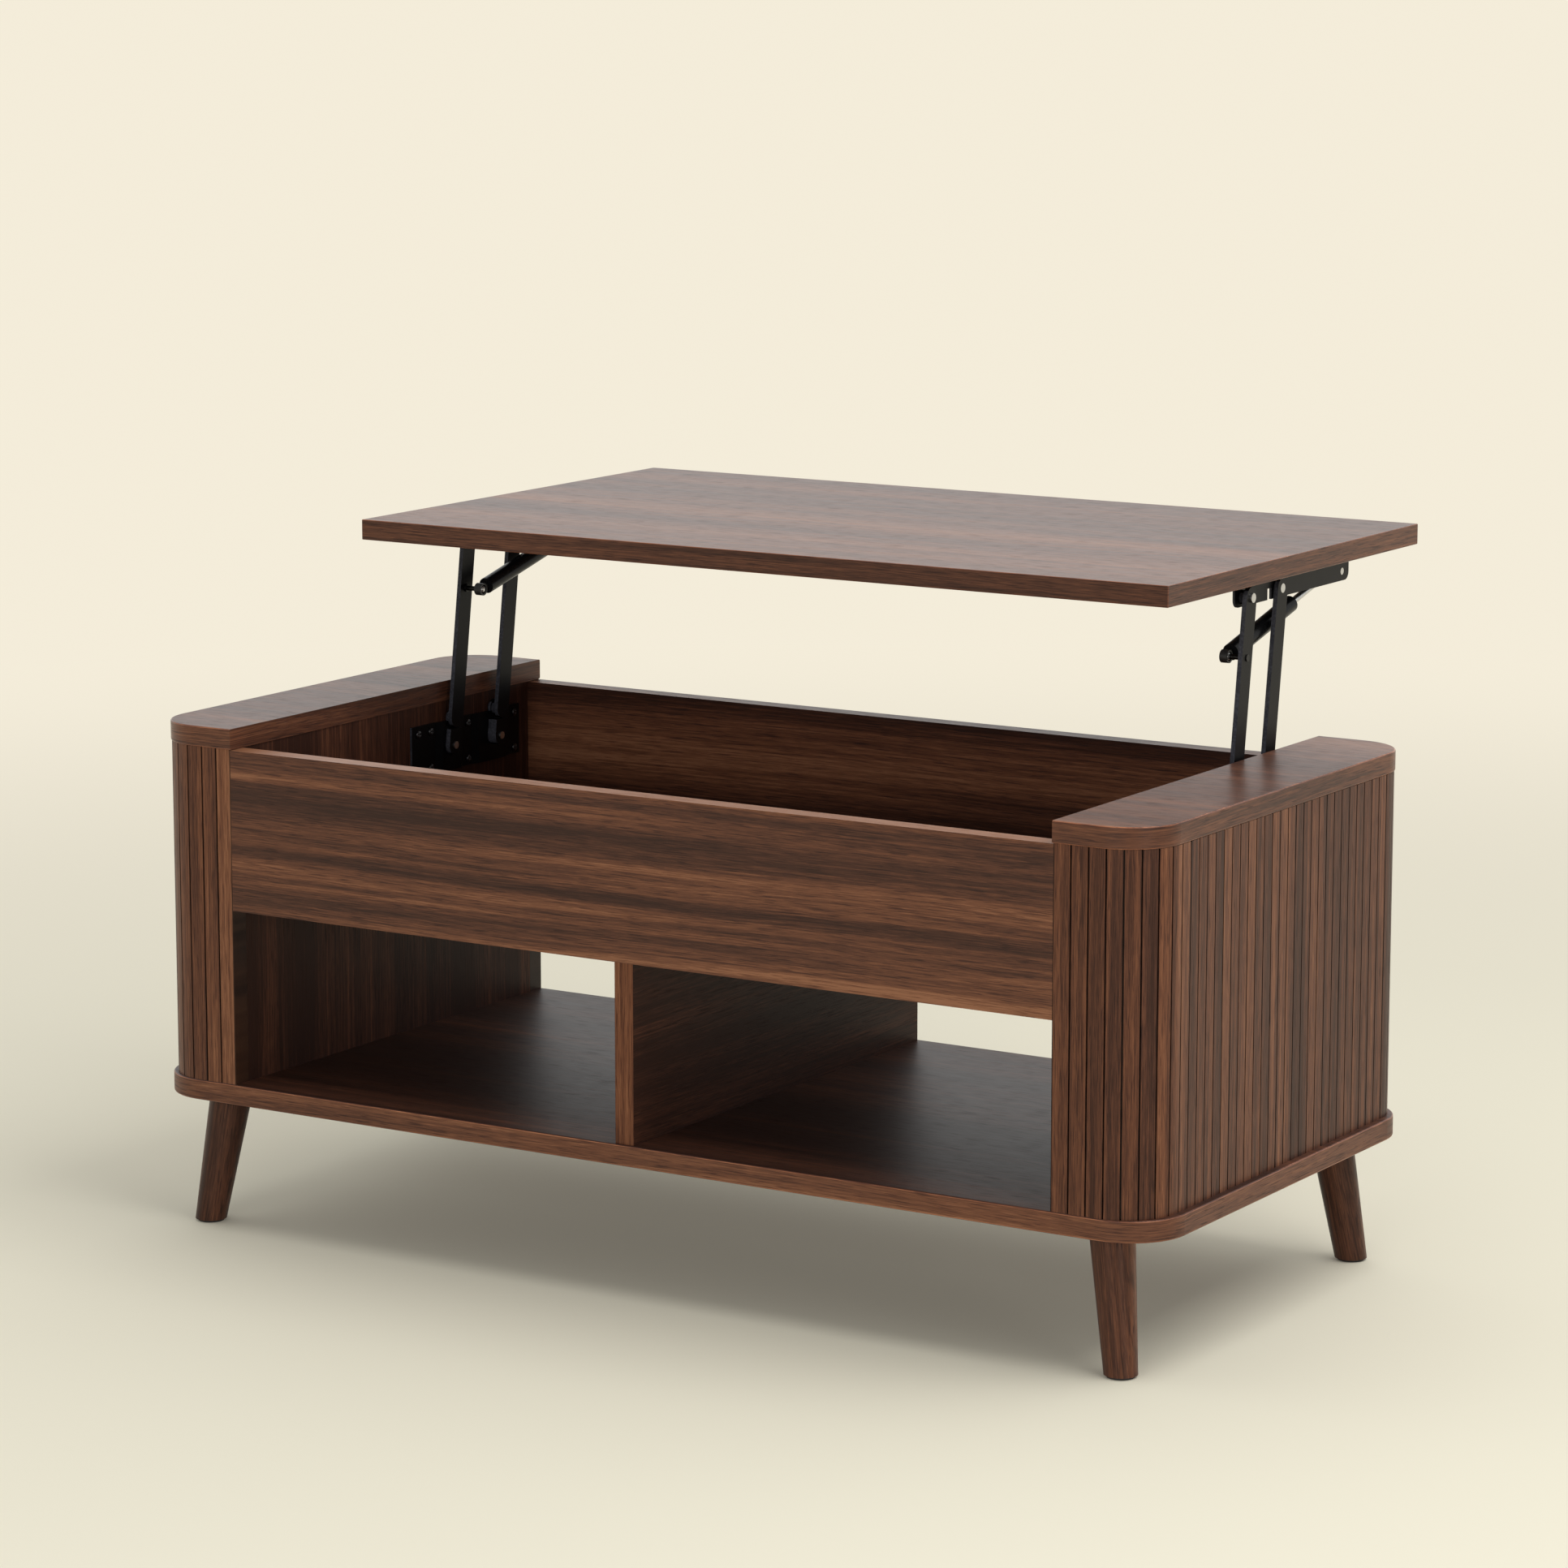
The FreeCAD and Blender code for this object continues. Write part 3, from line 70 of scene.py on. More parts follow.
class Tree:
    """A material under construction: adds nodes and links them."""

    def __init__(self, name):
        self.material = bpy.data.materials.new(name)
        self.material.use_nodes = True
        self.nodes = self.material.node_tree.nodes
        self.links = self.material.node_tree.links
        self.nodes.clear()
        output = self.nodes.new("ShaderNodeOutputMaterial")
        self.shader = self.nodes.new("ShaderNodeBsdfPrincipled")
        self.links.new(self.shader.outputs[0], output.inputs["Surface"])
        self.coordinates = self.nodes.new("ShaderNodeTexCoord")

    def feed(self, socket, value):
        """Links a socket to another, or sets its number or colour."""
        if isinstance(value, bpy.types.NodeSocket):
            self.links.new(value, socket)
        else:
            socket.default_value = value

    def split(self, vector):
        node = self.nodes.new("ShaderNodeSeparateXYZ")
        self.links.new(vector, node.inputs[0])
        return node.outputs[0], node.outputs[1], node.outputs[2]

    def place(self):
        """The point on the surface, in metres."""
        return self.split(self.coordinates.outputs["Object"])

    def normal(self):
        return self.split(self.coordinates.outputs["Normal"])

    def join(self, x, y, z):
        node = self.nodes.new("ShaderNodeCombineXYZ")
        for socket, value in zip(node.inputs, (x, y, z)):
            self.feed(socket, value)
        return node.outputs[0]

    def math(self, operation, *values):
        node = self.nodes.new("ShaderNodeMath")
        node.operation = operation
        for socket, value in zip(node.inputs, values):
            self.feed(socket, value)
        return node.outputs[0]

    def add(self, *values):
        total = values[0]
        for value in values[1:]:
            total = self.math("ADD", total, value)
        return total

    def times(self, a, b):
        return self.math("MULTIPLY", a, b)

    def less(self, a, b):
        return self.math("SUBTRACT", a, b)

    def noise(self, vector, detail=2, roughness=0.5):
        node = self.nodes.new("ShaderNodeTexNoise")
        node.inputs["Scale"].default_value = 1
        node.inputs["Detail"].default_value = detail
        node.inputs["Roughness"].default_value = roughness
        self.links.new(vector, node.inputs["Vector"])
        return node.outputs["Fac"]

    def random(self, vector):
        node = self.nodes.new("ShaderNodeTexWhiteNoise")
        self.links.new(vector, node.inputs["Vector"])
        return node.outputs["Value"]

    def span(self, value, low, high, to_low=0.0, to_high=1.0):
        """Maps a stretch of values onto another, smoothly and clamped."""
        node = self.nodes.new("ShaderNodeMapRange")
        node.interpolation_type = "SMOOTHSTEP"
        for socket, number in zip(node.inputs, (value, low, high, to_low, to_high)):
            self.feed(socket, number)
        return node.outputs[0]

    def choose(self, factor, a, b):
        """Vector a where the factor is 0 and b where it is 1."""
        node = self.nodes.new("ShaderNodeMix")
        node.data_type = "VECTOR"
        self.links.new(factor, node.inputs[0])
        self.links.new(a, node.inputs[4])
        self.links.new(b, node.inputs[5])
        return node.outputs[1]

    def ramp(self, factor, stops):
        node = self.nodes.new("ShaderNodeValToRGB")
        elements = node.color_ramp.elements
        while len(elements) < len(stops):
            elements.new(0.5)
        for element, (position, colour) in zip(elements, stops):
            element.position = position
            element.color = (*colour, 1)
        self.links.new(factor, node.inputs[0])
        return node.outputs["Color"]

    def tint(self, colour, factor):
        """A colour multiplied by a number."""
        node = self.nodes.new("ShaderNodeVectorMath")
        node.operation = "SCALE"
        self.links.new(colour, node.inputs[0])
        self.feed(node.inputs["Scale"], factor)
        return node.outputs[0]

    def bump(self, height, distance, strength=1.0):
        node = self.nodes.new("ShaderNodeBump")
        node.inputs["Strength"].default_value = strength
        node.inputs["Distance"].default_value = distance
        self.links.new(height, node.inputs["Height"])
        self.links.new(node.outputs[0], self.shader.inputs["Normal"])

    def fixed(self, **values):
        """Sets the shader's own sockets, such as ior or metallic."""
        for name, value in values.items():
            label = name.upper() if name == "ior" else name.replace("_", " ").title()
            self.shader.inputs[label].default_value = value

    def set(self, **values):
        """Links or sets the shader's sockets by name, such as base_color."""
        for name, value in values.items():
            self.feed(self.shader.inputs[name.replace("_", " ").title()], value)


# ---- wood ----

WALNUT = [
    (0.00, (0.038, 0.0150, 0.0095)),
    (0.28, (0.072, 0.0275, 0.0160)),
    (0.50, (0.124, 0.0470, 0.0250)),
    (0.72, (0.190, 0.0750, 0.0370)),
    (1.00, (0.300, 0.1320, 0.0670)),
]


MIDDLE = 0.5                    # the value a noise varies about, and the ramp's middle shade

# Each layer of the grain: its noise scales along, across and into the wood, per metre, then
# the noise's detail and roughness.
SWAY = ((1.6, 5, 1), 2, 0.5)
FLAMES = ((1.0, 80, 7), 3, 0.6)
STREAKS = ((4.5, 330, 21), 3, 0.7)
FIBRES = ((36, 950, 90), 3, 0.8)
PORES = ((40, 1100, 170), 1, 0.5)
BAND_SCALES = (0.5, 4)          # along and into the wood; the pitch is the scale across it

# How far each layer moves the shade.
SWAY_REACH = 0.012
BAND_WEIGHT = 0.68
FLAME_WEIGHT = 0.85
STREAK_WEIGHT = 1.0
FIBRE_WEIGHT = 1.05
PORE_WEIGHT = -0.26

# Painted highlight: the eased edges are painted this much paler, and made this much smoother.
GLINT_PALER = 0.9
GLINT_SMOOTHER = 0.12
FIBRE_RELIEF = 0.35             # fibres' height beside the pores' depth
RELIEF_DEPTH = 0.00006
EASED_LIMIT = 0.97              # a flat face's normal is nearer an axis than this


def layer(tree, grain, scales, detail, roughness):
    """Noise stretched differently along, across and into the wood."""
    stretched = [tree.times(axis, scale) for axis, scale in zip(grain, scales)]
    return tree.noise(tree.join(*stretched), detail, roughness)


def wood(tree, along, across, depth, tone=0.0, band=1.0, figure=1.0, gloss=0.36, ior=1.33,
         pitch=17, painted_shade=None, painted_glint=None):
    """Walnut: broad bands, figure, fibres and short dark pores drawn out along the grain.

    Tone shifts the whole shade; band and figure weigh the bands and the flames. Painted shade is a
    factor that darkens the colour where shade falls, and painted glint is 1 on an eased edge that
    is painted paler, a painted highlight, and made smoother."""
    sway = layer(tree, (along, across, depth), *SWAY)
    across = tree.add(across, tree.times(tree.less(sway, MIDDLE), SWAY_REACH))
    grain = (along, across, depth)
    along_scale, depth_scale = BAND_SCALES
    bands = tree.span(layer(tree, grain, (along_scale, pitch, depth_scale), 3, 0.5), 0.33, 0.67)
    streaks = layer(tree, grain, *STREAKS)
    fibres = layer(tree, grain, *FIBRES)
    pores = tree.span(layer(tree, grain, *PORES), 0.56, 0.66)
    weights = [
        (bands, BAND_WEIGHT * band),
        (layer(tree, grain, *FLAMES), FLAME_WEIGHT * figure),
        (streaks, STREAK_WEIGHT),
        (fibres, FIBRE_WEIGHT),
    ]
    parts = [tree.times(tree.less(value, MIDDLE), weight) for value, weight in weights]
    shade = tree.add(MIDDLE, tone, *parts, tree.times(pores, PORE_WEIGHT))
    colour = tree.ramp(shade, WALNUT)
    roughness = tree.add(gloss, tree.times(tree.less(streaks, MIDDLE), 0.10),
                         tree.times(pores, 0.10))
    # Painted shade: a factor that darkens the colour where shade falls.
    if painted_shade:
        colour = tree.tint(colour, painted_shade)
    # Painted highlight: the eased edges are painted paler and made smoother.
    if painted_glint:
        colour = tree.tint(colour, tree.add(1.0, tree.times(painted_glint, GLINT_PALER)))
        roughness = tree.less(roughness, tree.times(painted_glint, GLINT_SMOOTHER))
    tree.set(base_color=colour, roughness=roughness)
    tree.fixed(ior=ior)
    tree.bump(tree.less(tree.times(fibres, FIBRE_RELIEF), pores), RELIEF_DEPTH, 0.5)


def glint_edges(tree, round_corners=False):
    """1 on a board's eased edges, which get a painted highlight, and 0 on its flat faces and on
    its rounded corners.
    """
    across, deep, upright = [tree.math("ABSOLUTE", part) for part in tree.normal()]
    level = tree.math("MAXIMUM", across, deep)
    if round_corners:
        level = tree.math("SQRT", tree.less(1.0, tree.times(upright, upright)))
    return tree.math("LESS_THAN", tree.math("MAXIMUM", level, upright), EASED_LIMIT)


def edge_run(tree, x, y, corner_x, corner_y, radius):
    """Distance along a board's edge from the middle of its front or back, round its corner."""
    wide, deep = tree.math("ABSOLUTE", x), tree.math("ABSOLUTE", y)
    beyond_x = tree.math("MAXIMUM", tree.less(wide, corner_x), 0.0)
    beyond_y = tree.math("MAXIMUM", tree.less(deep, corner_y), 0.0)
    turn = tree.times(tree.math("ARCTAN2", beyond_x, beyond_y), radius)
    return tree.add(tree.math("MINIMUM", wide, corner_x), turn,
                    tree.less(corner_y, tree.math("MINIMUM", deep, corner_y)))


EDGE_LIMIT = 0.6                # a face belongs to a board's edge from this much of its normal
EDGE_DRIFT = 0.15               # how slowly an edge's grain changes into the board


def board_material(name, node, centre_y, radius, seed, face_tone, edge_tone, **looks):
    """A horizontal board: grain along X on its faces, and along the edge on its edges."""
    tree = Tree(name)
    low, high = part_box(node)
    x, y, z = tree.place()
    y = tree.less(y, centre_y)
    corner_x = max(abs(low.x), abs(high.x)) - radius
    corner_y = (high.y - low.y) / 2 - radius
    run = tree.times(edge_run(tree, x, y, corner_x, corner_y, radius), tree.math("SIGN", x))
    face = tree.join(x, y, seed)
    edge = tree.join(run, z, tree.add(tree.times(y, EDGE_DRIFT), seed + 5))
    upright = tree.math("ABSOLUTE", tree.normal()[2])
    on_edge = tree.math("LESS_THAN", upright, EDGE_LIMIT)
    grain = tree.choose(on_edge, face, edge)
    tone = tree.add(face_tone, tree.times(on_edge, edge_tone - face_tone))
    # The eased edges get a painted highlight.
    painted_glint = glint_edges(tree, round_corners=radius > LID_RADIUS)
    wood(tree, *tree.split(grain), tone=tone, painted_glint=painted_glint, **looks)
    return tree.material


def panel_material(name, along, across, depth, seed, tone=0.0, edge_axis=None, edge_tone=0.0,
                   **looks):
    """A board with its grain along one axis; its edges across edge_axis have their own."""
    tree = Tree(name)
    axes = dict(zip("xyz", tree.place()))
    grain = tree.join(axes[along], axes[across], tree.add(axes[depth], seed))
    if edge_axis:
        facing = tree.math("ABSOLUTE", tree.normal()["xyz".index(edge_axis)])
        on_edge = tree.math("GREATER_THAN", facing, EDGE_LIMIT)
        edge_along, edge_across = ("z", "x") if edge_axis == "y" else ("x", "y")
        edge = tree.join(axes[edge_along], axes[edge_across], tree.add(axes[edge_axis], seed + 3))
        grain = tree.choose(on_edge, grain, edge)
        tone = tree.add(tone, tree.times(on_edge, edge_tone - tone))
    # The eased edges get a painted highlight.
    wood(tree, *tree.split(grain), tone=tone, painted_glint=glint_edges(tree), **looks)
    return tree.material


PANEL_RADIUS = 0.046            # outer radius of the fluted panels' corners
FRONT_PITCH = 0.0155            # slats on the flat returns at the front and back
FRONT_SLATS = 3
CORNER_SLATS = 6
END_PITCH = 0.014               # slats on the straight end
END_SLATS = 12                  # each side of the end's middle, after the corner's


def slat_material():
    """Upright slats, each cut from another place of the veneer and in its own tone, with painted
    shade darkening the grooves between them."""
    tree = Tree("walnut_slats")
    low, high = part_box("fluted_panel_right")
    corner_x = high.x - PANEL_RADIUS
    corner_y = (high.y - low.y) / 2 - PANEL_RADIUS
    start = FRONT_SLATS * FRONT_PITCH
    arc = PANEL_RADIUS * math.pi / 2
    finish = corner_x - low.x + arc + corner_y - END_SLATS * END_PITCH
    x, y, z = tree.place()
    y = tree.less(y, CARCASS_Y)
    run = tree.less(edge_run(tree, x, y, corner_x, corner_y, PANEL_RADIUS), low.x)
    front = tree.math("DIVIDE", tree.math("MINIMUM", run, start), FRONT_PITCH)
    corner = tree.math("MINIMUM", tree.math("MAXIMUM", tree.less(run, start), 0.0), finish - start)
    corner = tree.math("DIVIDE", corner, (finish - start) / CORNER_SLATS)
    end = tree.math("DIVIDE", tree.math("MAXIMUM", tree.less(run, finish), 0.0), END_PITCH)
    count = tree.add(front, corner, end)
    off_middle = tree.math("ABSOLUTE", tree.less(tree.math("FRACT", count), 0.5))
    # Painted shade: the colour darkens towards each groove between the slats.
    painted_shade = tree.span(tree.less(0.5, off_middle), 0.03, 0.075, 0.22, 1.0)
    slat = tree.join(tree.math("FLOOR", count), tree.math("SIGN", x), tree.math("SIGN", y))
    jump = tree.random(slat)
    # The slats on the flat returns at the front and back are painted paler, as painted light.
    on_front = tree.math("LESS_THAN", run, start)
    tone = tree.add(tree.times(on_front, 0.14), tree.times(tree.less(jump, 0.5), 0.13))
    wood(tree, z, tree.add(run, tree.times(jump, 1.9)), tree.times(jump, 37), tone=tone,
         band=0.55, figure=1.3, gloss=0.38, ior=1.27, painted_shade=painted_shade)
    return tree.material


LEG_SPLAY_X = 0.141             # how far a leg leans out per metre of height
LEG_SPLAY_Y = 0.111


def leg_material():
    """Grain along each splayed leg; the front right one is painted paler, as painted light."""
    tree = Tree("leg_wood")
    x, y, z = tree.place()
    y = tree.less(y, CARCASS_Y)
    right, back = tree.math("SIGN", x), tree.math("SIGN", y)
    out_x = tree.add(tree.math("ABSOLUTE", x), tree.times(z, LEG_SPLAY_X))
    out_y = tree.add(tree.math("ABSOLUTE", y), tree.times(z, LEG_SPLAY_Y))
    side = tree.add(tree.times(right, 3.7), tree.times(back, 1.9))
    # Painted light: the front right leg is painted paler.
    paler = tree.math("MAXIMUM", tree.less(right, back), 0.0)
    wood(tree, tree.add(z, side), out_x, tree.times(tree.add(out_y, side), 2.5),
         tone=tree.add(-0.27, tree.times(paler, 0.12)), band=0.3, figure=0.7, gloss=0.38,
         ior=1.3)
    return tree.material


# ---- metals and plastics ----

PAINT_IOR = 1.23
FRONT_LIMIT = -0.7              # a face whose normal's Y is less looks to the front


def speckled(tree, factor, colour, dark=0.8, light=1.0, low=0.3, high=0.7):
    """A colour that varies between two shades of itself."""
    return tree.ramp(factor, [(low, [part * dark for part in colour]),
                              (high, [part * light for part in colour])])


def painted_metal(name, colour, roughness, grain_size, depth, rim=1.0):
    """Powder coat or paint: mottling, orange peel, and front faces painted paler, a painted
    highlight.
    """
    tree = Tree(name)
    place = tree.coordinates.outputs["Object"]
    mottle = tree.noise(tree.tint(place, 70), 3)
    peel = tree.noise(tree.tint(place, 1 / grain_size), 2)
    base = speckled(tree, mottle, colour, dark=0.75, light=1.2)
    # Painted highlight: faces that look to the front are painted paler, by a mottled amount.
    forward = tree.math("LESS_THAN", tree.normal()[1], FRONT_LIMIT)
    painted_front_light = tree.span(tree.noise(tree.tint(place, 500), 2), 0.4, 0.7, 0.6 * rim, rim)
    tree.set(base_color=tree.tint(base, tree.add(1.0, tree.times(forward, painted_front_light))))
    tree.set(roughness=tree.add(roughness - 0.04, tree.times(mottle, 0.08),
                                tree.times(peel, 0.06)))
    tree.fixed(ior=PAINT_IOR)
    tree.bump(peel, depth, 0.6)
    return tree.material


def stud_metal(name, colour, dark, roughness):
    """A plated ball on a shank that is darker by a factor."""
    tree = Tree(name)
    scuffs = tree.noise(tree.tint(tree.coordinates.outputs["Object"], 420), 4)
    bright = speckled(tree, scuffs, colour, dark=0.55)
    shank = tree.math("GREATER_THAN", tree.math("ABSOLUTE", tree.place()[0]), BALL_LIMIT)
    tree.set(base_color=tree.tint(bright, tree.add(1.0, tree.times(shank, dark - 1))))
    tree.set(roughness=tree.add(roughness, tree.times(scuffs, 0.2)))
    tree.fixed(metallic=1)
    tree.bump(scuffs, 0.0002, 0.5)
    return tree.material


def bare_metal(name, colour, roughness):
    """Plated steel with fine turning marks and light scuffs."""
    tree = Tree(name)
    x, y, z = tree.place()
    marks = tree.noise(tree.join(tree.times(x, 3000), tree.times(y, 500), tree.times(z, 500)), 2)
    scuffs = tree.noise(tree.tint(tree.coordinates.outputs["Object"], 160), 4)
    tree.set(base_color=speckled(tree, scuffs, colour, low=0.25, high=0.75))
    tree.set(roughness=tree.add(roughness, tree.times(marks, 0.1), tree.times(scuffs, 0.12)))
    tree.fixed(metallic=1)
    tree.bump(marks, 0.00002, 0.4)
    return tree.material


def plastic(name, colour, roughness):
    """Moulded plastic with a fine texture."""
    tree = Tree(name)
    place = tree.coordinates.outputs["Object"]
    grain = tree.noise(tree.tint(place, 2600), 2)
    cloud = tree.noise(tree.tint(place, 120), 2)
    tree.set(base_color=speckled(tree, cloud, colour))
    tree.set(roughness=tree.add(roughness, tree.times(grain, 0.12)))
    tree.bump(grain, 0.00006, 0.5)
    return tree.material


LID_RADIUS = 0.001
CAP_RADIUS = 0.0465
BASE_RADIUS = 0.05


def cap_material(side, seed):
    return board_material("walnut_cap_" + side, "end_cap_" + side, CARCASS_Y, CAP_RADIUS, seed,
                          face_tone=0.0, edge_tone=-0.05, band=0.6, figure=0.8, gloss=0.34)


# The boards' materials, by the start of their nodes' names.
WOODS = {
    "lift_top": board_material("walnut_lift_top", "lift_top", LID_Y, LID_RADIUS, seed=11.3,
                               face_tone=0.0, edge_tone=-0.10, band=0.5, figure=0.6, gloss=0.32),
    "end_cap_left": cap_material("left", seed=23.1),
    "end_cap_right": cap_material("right", seed=31.7),
    # The base board's faces are painted much darker than its edges, as painted shade inside the
    # cubbies.
    "base_board": board_material("walnut_base", "base_board", CARCASS_Y, BASE_RADIUS, seed=47.9,
                                 face_tone=-0.34, edge_tone=-0.05, band=0.7, gloss=0.42),
    "front_panel": panel_material("walnut_front", "x", "z", "y", seed=3.3, band=0.8, figure=1.15,
                                  pitch=27, edge_axis="z", edge_tone=0.3),
    "back_panel": panel_material("walnut_back", "x", "z", "y", seed=8.6, tone=-0.06,
                                 edge_axis="z", edge_tone=0.3),
    "compartment_floor": panel_material("walnut_floor", "x", "y", "z", seed=14.4, tone=-0.05),
    # The inner side panels and the centre divider are painted darker, as painted shade inside the
    # cubbies.
    "inner_side_panel": panel_material("walnut_sides", "z", "y", "x", seed=19.2, tone=-0.32,
                                       band=0.7, gloss=0.44, ior=1.2),
    "centre_divider": panel_material("walnut_divider", "y", "z", "x", seed=27.5, tone=-0.38,
                                     band=0.5, edge_axis="y", edge_tone=0.14, gloss=0.42,
                                     ior=1.2),
    "fluted_panel": slat_material(),
    "leg_": leg_material(),
}

# The ball of a stud shows up to here from the table's middle, and its shank beyond.
BALL_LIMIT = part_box("cylinder_end_fitting_right")[1].x + 0.0006
BALL_STUD = stud_metal("ball_stud", (0.9, 0.9, 0.89), dark=0.05, roughness=0.3)
BLACK_SCREWS = bare_metal("black_screws", (0.09, 0.09, 0.093), roughness=0.22)
SLOT_MATERIALS = {
    # Black steel's front faces get a strong painted highlight.
    "black_steel": painted_metal("black_steel", (0.0026, 0.0027, 0.0033), roughness=0.34,
                                 grain_size=0.0006, depth=0.00005, rim=24.0),
    "spring_black": painted_metal("spring_black", (0.005, 0.005, 0.0055), roughness=0.2,
                                  grain_size=0.002, depth=0.00003),
    "black_screws": BLACK_SCREWS,
    "bright_steel": bare_metal("bright_steel", (0.66, 0.66, 0.65), roughness=0.2),
    "zinc_steel": bare_metal("zinc_steel", (0.6, 0.6, 0.57), roughness=0.32),
    "black_plastic": plastic("black_plastic", (0.018, 0.018, 0.018), roughness=0.42),
    "dowel_wood": plastic("dowel_wood", (0.5, 0.36, 0.2), roughness=0.55),
}


def node_material(name, slot):
    """The material of a CAD node: a board's own, or the one of its slot."""
    if "ball_stud" in name:
        return BALL_STUD
    if slot in SLOT_MATERIALS:
        return SLOT_MATERIALS[slot]
    return next(material for start, material in WOODS.items() if name.startswith(start))


for name, node in NODES.items():
    for material_slot in node.material_slots:
        material_slot.material = node_material(name, material_slot.material.name.split(".")[0])


# ---- screw heads ----

HEAD_RINGS = 12
HEAD_STEPS = 40
HEAD_RISE = 0.002               # height of a head above the bracket
DOME = 0.8                      # 1 would curve the head's rim down to the bracket
SLOT_HALF_WIDTH = 0.17          # of the head's radius
SLOT_HALF_LENGTH = 0.58
SLOT_DEPTH = 0.5                # of the head's height, in the middle
SLOT_RISE = 0.6                 # how much shallower the slots get towards their ends


def solid_boxes(name):
    """The lowest and highest corners of each separate solid of a CAD node."""
    shape = bmesh.new()
    shape.from_mesh(NODES[name].data)
    bmesh.ops.remove_doubles(shape, verts=shape.verts, dist=1e-6)
    waiting, boxes = set(shape.verts), []
    while waiting:
        reached, edge = set(), [waiting.pop()]
        while edge:
            vertex = edge.pop()
            reached.add(vertex)
            near = {link.other_vert(vertex) for link in vertex.link_edges} & waiting
            waiting -= near
            edge.extend(near)
        corners = [vertex.co for vertex in reached]
        boxes.append((Vector(map(min, zip(*corners))), Vector(map(max, zip(*corners)))))
    shape.free()
    return sorted(boxes, key=lambda box: tuple(round(value, 5) for value in box[0]))


def head_height(y, z, radius):
    """A low dome with a cross cut into its middle."""
    reach = math.hypot(y, z)
    height = HEAD_RISE * math.sqrt(1 - DOME * (reach / radius) ** 2)
    slot_width, slot_length = radius * SLOT_HALF_WIDTH, radius * SLOT_HALF_LENGTH
    if min(abs(y), abs(z)) < slot_width and max(abs(y), abs(z)) < slot_length:
        height -= HEAD_RISE * SLOT_DEPTH * (1 - SLOT_RISE * reach / slot_length)
    return height


def add_head(shape, centre, sign, radius):
    """One head on a face that looks along -sign times X, closed by its rim and its flat back."""
    hub = shape.verts.new(centre + Vector((-sign * head_height(0, 0, radius), 0, 0)))
    rings = []
    for ring in range(1, HEAD_RINGS + 2):
        reach = radius * min(ring, HEAD_RINGS) / HEAD_RINGS
        verts = []
        for step in range(HEAD_STEPS):
            angle = 2 * math.pi * (step + 0.5) / HEAD_STEPS
            y, z = reach * math.cos(angle), reach * math.sin(angle)
            height = head_height(y, z, radius) if ring <= HEAD_RINGS else 0
            verts.append(shape.verts.new(centre + Vector((-sign * height, y, z))))
        rings.append(verts)
    for step in range(HEAD_STEPS):
        following = (step + 1) % HEAD_STEPS
        shape.faces.new((hub, rings[0][step], rings[0][following]))
        for inner, outer in zip(rings, rings[1:]):
            shape.faces.new((inner[step], outer[step], outer[following], inner[following]))
    shape.faces.new(rings[-1])


def make_screw_heads():
    """Pan heads with cross recesses, in place of the lower brackets' plain screws."""
    shape = bmesh.new()
    for low, high in solid_boxes("lower_bracket_screws"):
        sign = 1 if low.x > 0 else -1
        seat = low.x + HEAD_RISE if sign > 0 else high.x - HEAD_RISE
        centre = Vector((seat, (low.y + high.y) / 2, (low.z + high.z) / 2))
        add_head(shape, centre, sign, (high.y - low.y) / 2)
    bmesh.ops.recalc_face_normals(shape, faces=shape.faces)
    mesh = bpy.data.meshes.new("bracket_screw_heads")
    shape.to_mesh(mesh)
    shape.free()
    for polygon in mesh.polygons:
        polygon.use_smooth = True
    heads = bpy.data.objects.new("bracket_screw_heads", mesh)
    scene.collection.objects.link(heads)
    mesh.materials.append(BLACK_SCREWS)
    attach(heads, "carcass")
    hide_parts("lower_bracket_screws")


make_screw_heads()

# ---- stage ----

BACKDROP = (0.905, 0.842, 0.700)
STUDIO_WHITE = (1.0, 1.005, 0.99)
LAMP_WHITE = (1, 0.985, 0.97)
BRIGHT_SIDE = (-0.50, 0.82, 0.28)   # from the table to the studio's bright side
DIM_LEVEL = 0.09
BRIGHT_LEVEL = 1.06
FLOOR_COLOUR = (0.79, 0.755, 0.620)
FLOOR_REACH = 40.0
FADE_START = 0.5                # distances from the table's middle, and how much of the
FADE_END = 3.4                  # floor has turned into the backdrop at each
# Even beside the table the floor glows this much, a painted light in the shade beneath it.
FADE_LOW = 0.07
FADE_HIGH = 1.0


def make_stage():
    """A pale floor that fades into the backdrop's colour far from the table; near the table it
    still glows faintly, a painted light in the shade beneath it.
    """
    mesh = bpy.data.meshes.new("floor")
    shape = bmesh.new()
    bmesh.ops.create_circle(shape, cap_ends=True, segments=64, radius=FLOOR_REACH)
    shape.to_mesh(mesh)
    shape.free()
    floor = bpy.data.objects.new("floor", mesh)
    scene.collection.objects.link(floor)
    tree = Tree("floor")
    x, y, _ = tree.place()
    distance = tree.math("SQRT", tree.add(tree.times(x, x), tree.times(y, y)))
    tree.set(base_color=(*FLOOR_COLOUR, 1), roughness=0.9)
    tree.shader.inputs["Specular IOR Level"].default_value = 0.1
    glow = tree.nodes.new("ShaderNodeEmission")
    glow.inputs["Color"].default_value = (*BACKDROP, 1)
    mix = tree.nodes.new("ShaderNodeMixShader")
    fade = tree.span(distance, FADE_START, FADE_END, FADE_LOW, FADE_HIGH)
    tree.links.new(fade, mix.inputs[0])
    tree.links.new(tree.shader.outputs[0], mix.inputs[1])
    tree.links.new(glow.outputs[0], mix.inputs[2])
    output = next(n for n in tree.nodes if n.type == "OUTPUT_MATERIAL")
    tree.links.new(mix.outputs[0], output.inputs["Surface"])
    mesh.materials.append(tree.material)


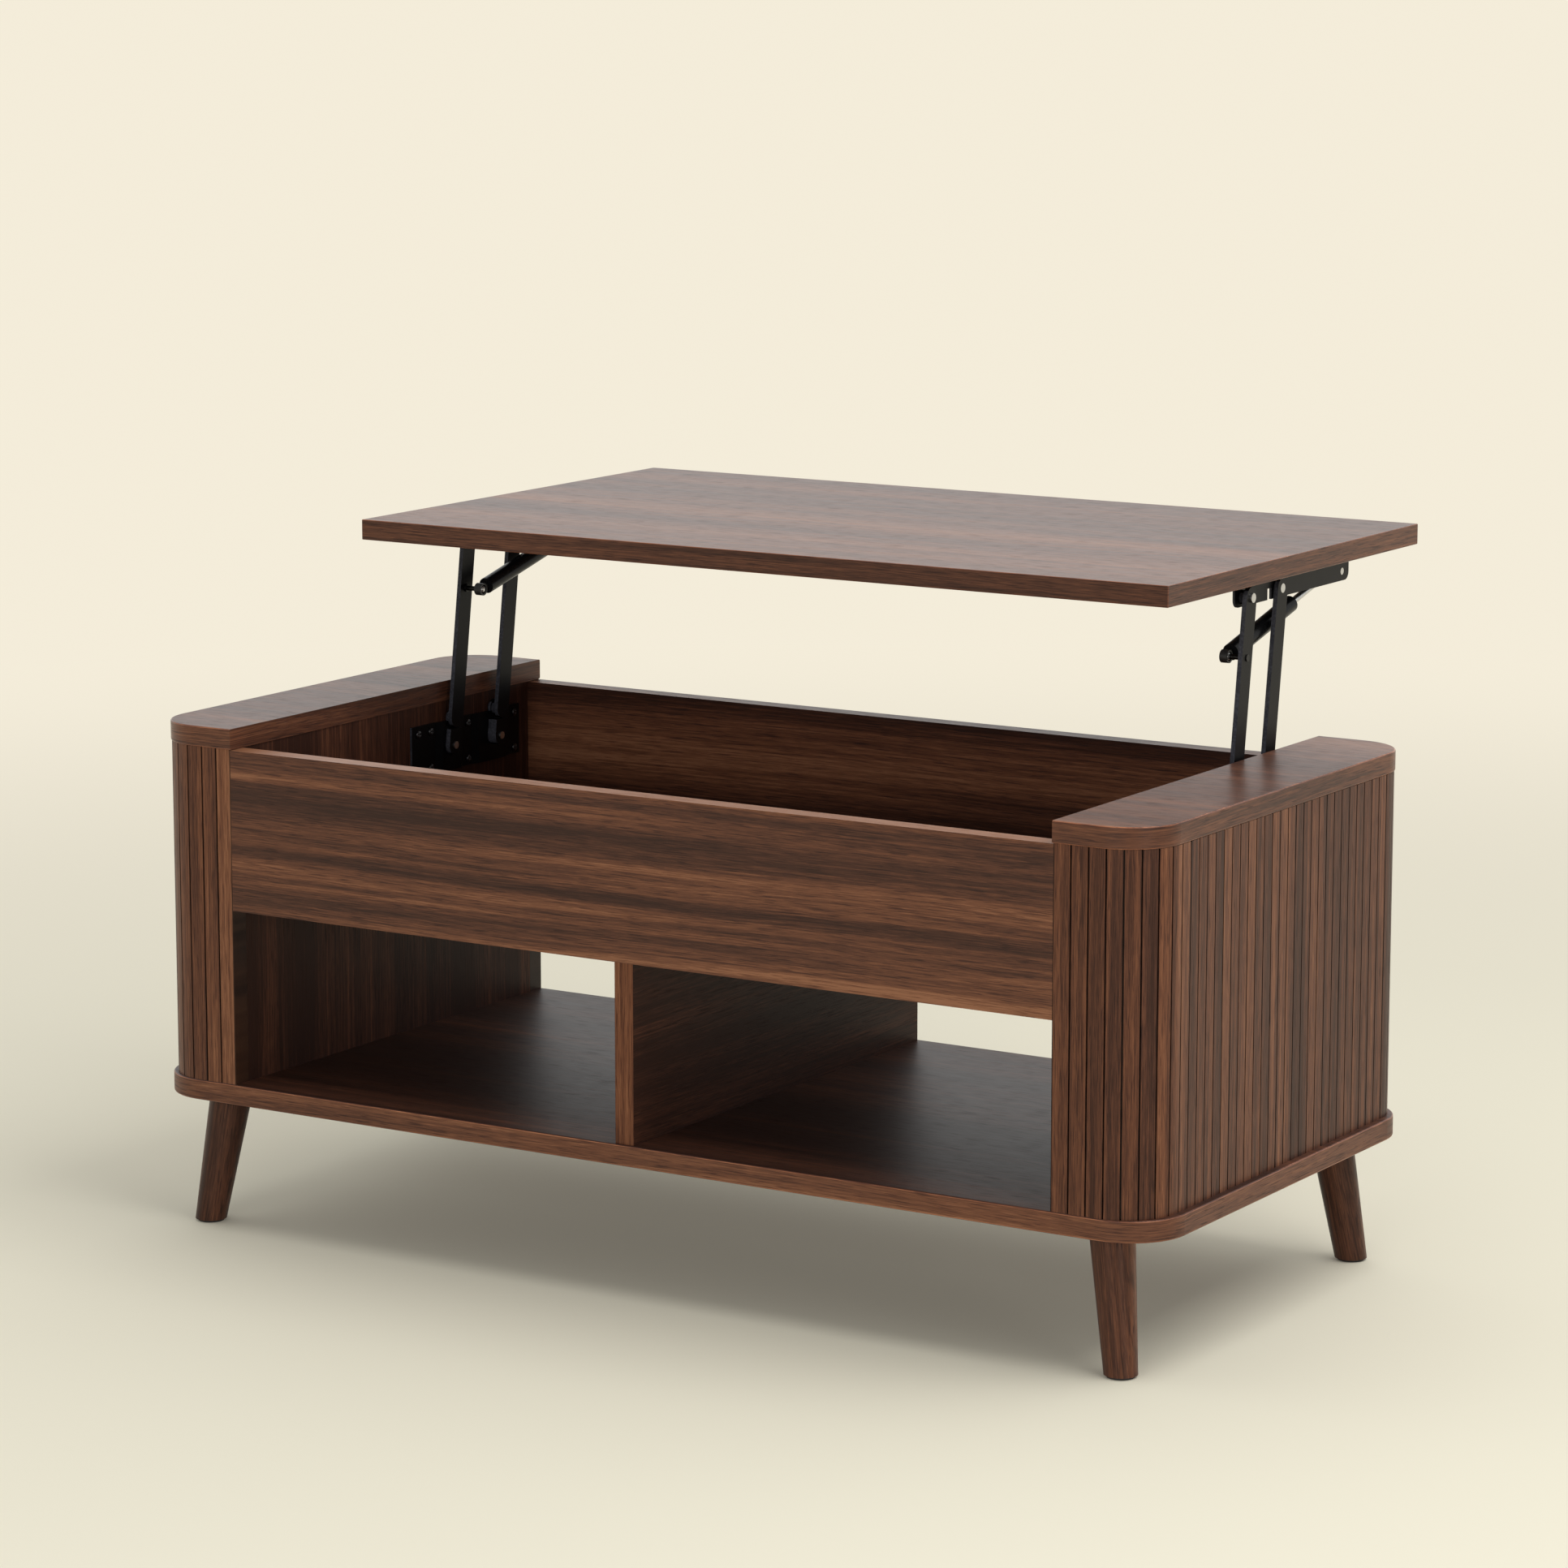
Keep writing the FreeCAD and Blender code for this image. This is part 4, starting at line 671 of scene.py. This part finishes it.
def make_world():
    """A studio that is bright behind the table and dim in front; the backdrop shows plain."""
    world = bpy.data.worlds.new("backdrop")
    world.use_nodes = True
    nodes, links = world.node_tree.nodes, world.node_tree.links
    nodes.clear()
    direction = nodes.new("ShaderNodeTexCoord")
    facing = nodes.new("ShaderNodeVectorMath")
    facing.operation = "DOT_PRODUCT"
    facing.inputs[1].default_value = BRIGHT_SIDE
    links.new(direction.outputs["Generated"], facing.inputs[0])
    level = nodes.new("ShaderNodeMapRange")
    level.interpolation_type = "SMOOTHSTEP"
    for socket, number in zip(list(level.inputs)[1:5], (-0.5, 0.75, DIM_LEVEL, BRIGHT_LEVEL)):
        socket.default_value = number
    links.new(facing.outputs["Value"], level.inputs[0])
    studio = nodes.new("ShaderNodeBackground")
    studio.inputs["Color"].default_value = (*STUDIO_WHITE, 1)
    links.new(level.outputs[0], studio.inputs["Strength"])
    plain = nodes.new("ShaderNodeBackground")
    plain.inputs["Color"].default_value = (*BACKDROP, 1)
    rays = nodes.new("ShaderNodeLightPath")
    mix = nodes.new("ShaderNodeMixShader")
    links.new(rays.outputs["Is Camera Ray"], mix.inputs[0])
    links.new(studio.outputs[0], mix.inputs[1])
    links.new(plain.outputs[0], mix.inputs[2])
    output = nodes.new("ShaderNodeOutputWorld")
    links.new(mix.outputs[0], output.inputs[0])
    scene.world = world


def softbox(name, location, target, size, power):
    """A soft rectangular light that the camera doesn't see."""
    data = bpy.data.lights.new(name, "AREA")
    data.shape = "RECTANGLE"
    data.size, data.size_y = size
    data.energy = power
    data.color = LAMP_WHITE
    light = bpy.data.objects.new(name, data)
    light.location = location
    light.rotation_euler = (Vector(target) - Vector(location)).to_track_quat("-Z", "Y").to_euler()
    light.visible_camera = False
    scene.collection.objects.link(light)


make_stage()
make_world()
softbox("overhead", (1.6, -0.1, 2.9), target=(0, 0, 0.2), size=(2.2, 2.2), power=53)
softbox("front", (0.7, -4.5, 1.5), target=(0, 0, 0.25), size=(2.4, 1.4), power=41)
softbox("right", (3.9, -1.9, 0.9), target=(0.3, 0, 0.0), size=(1.6, 0.9), power=19)
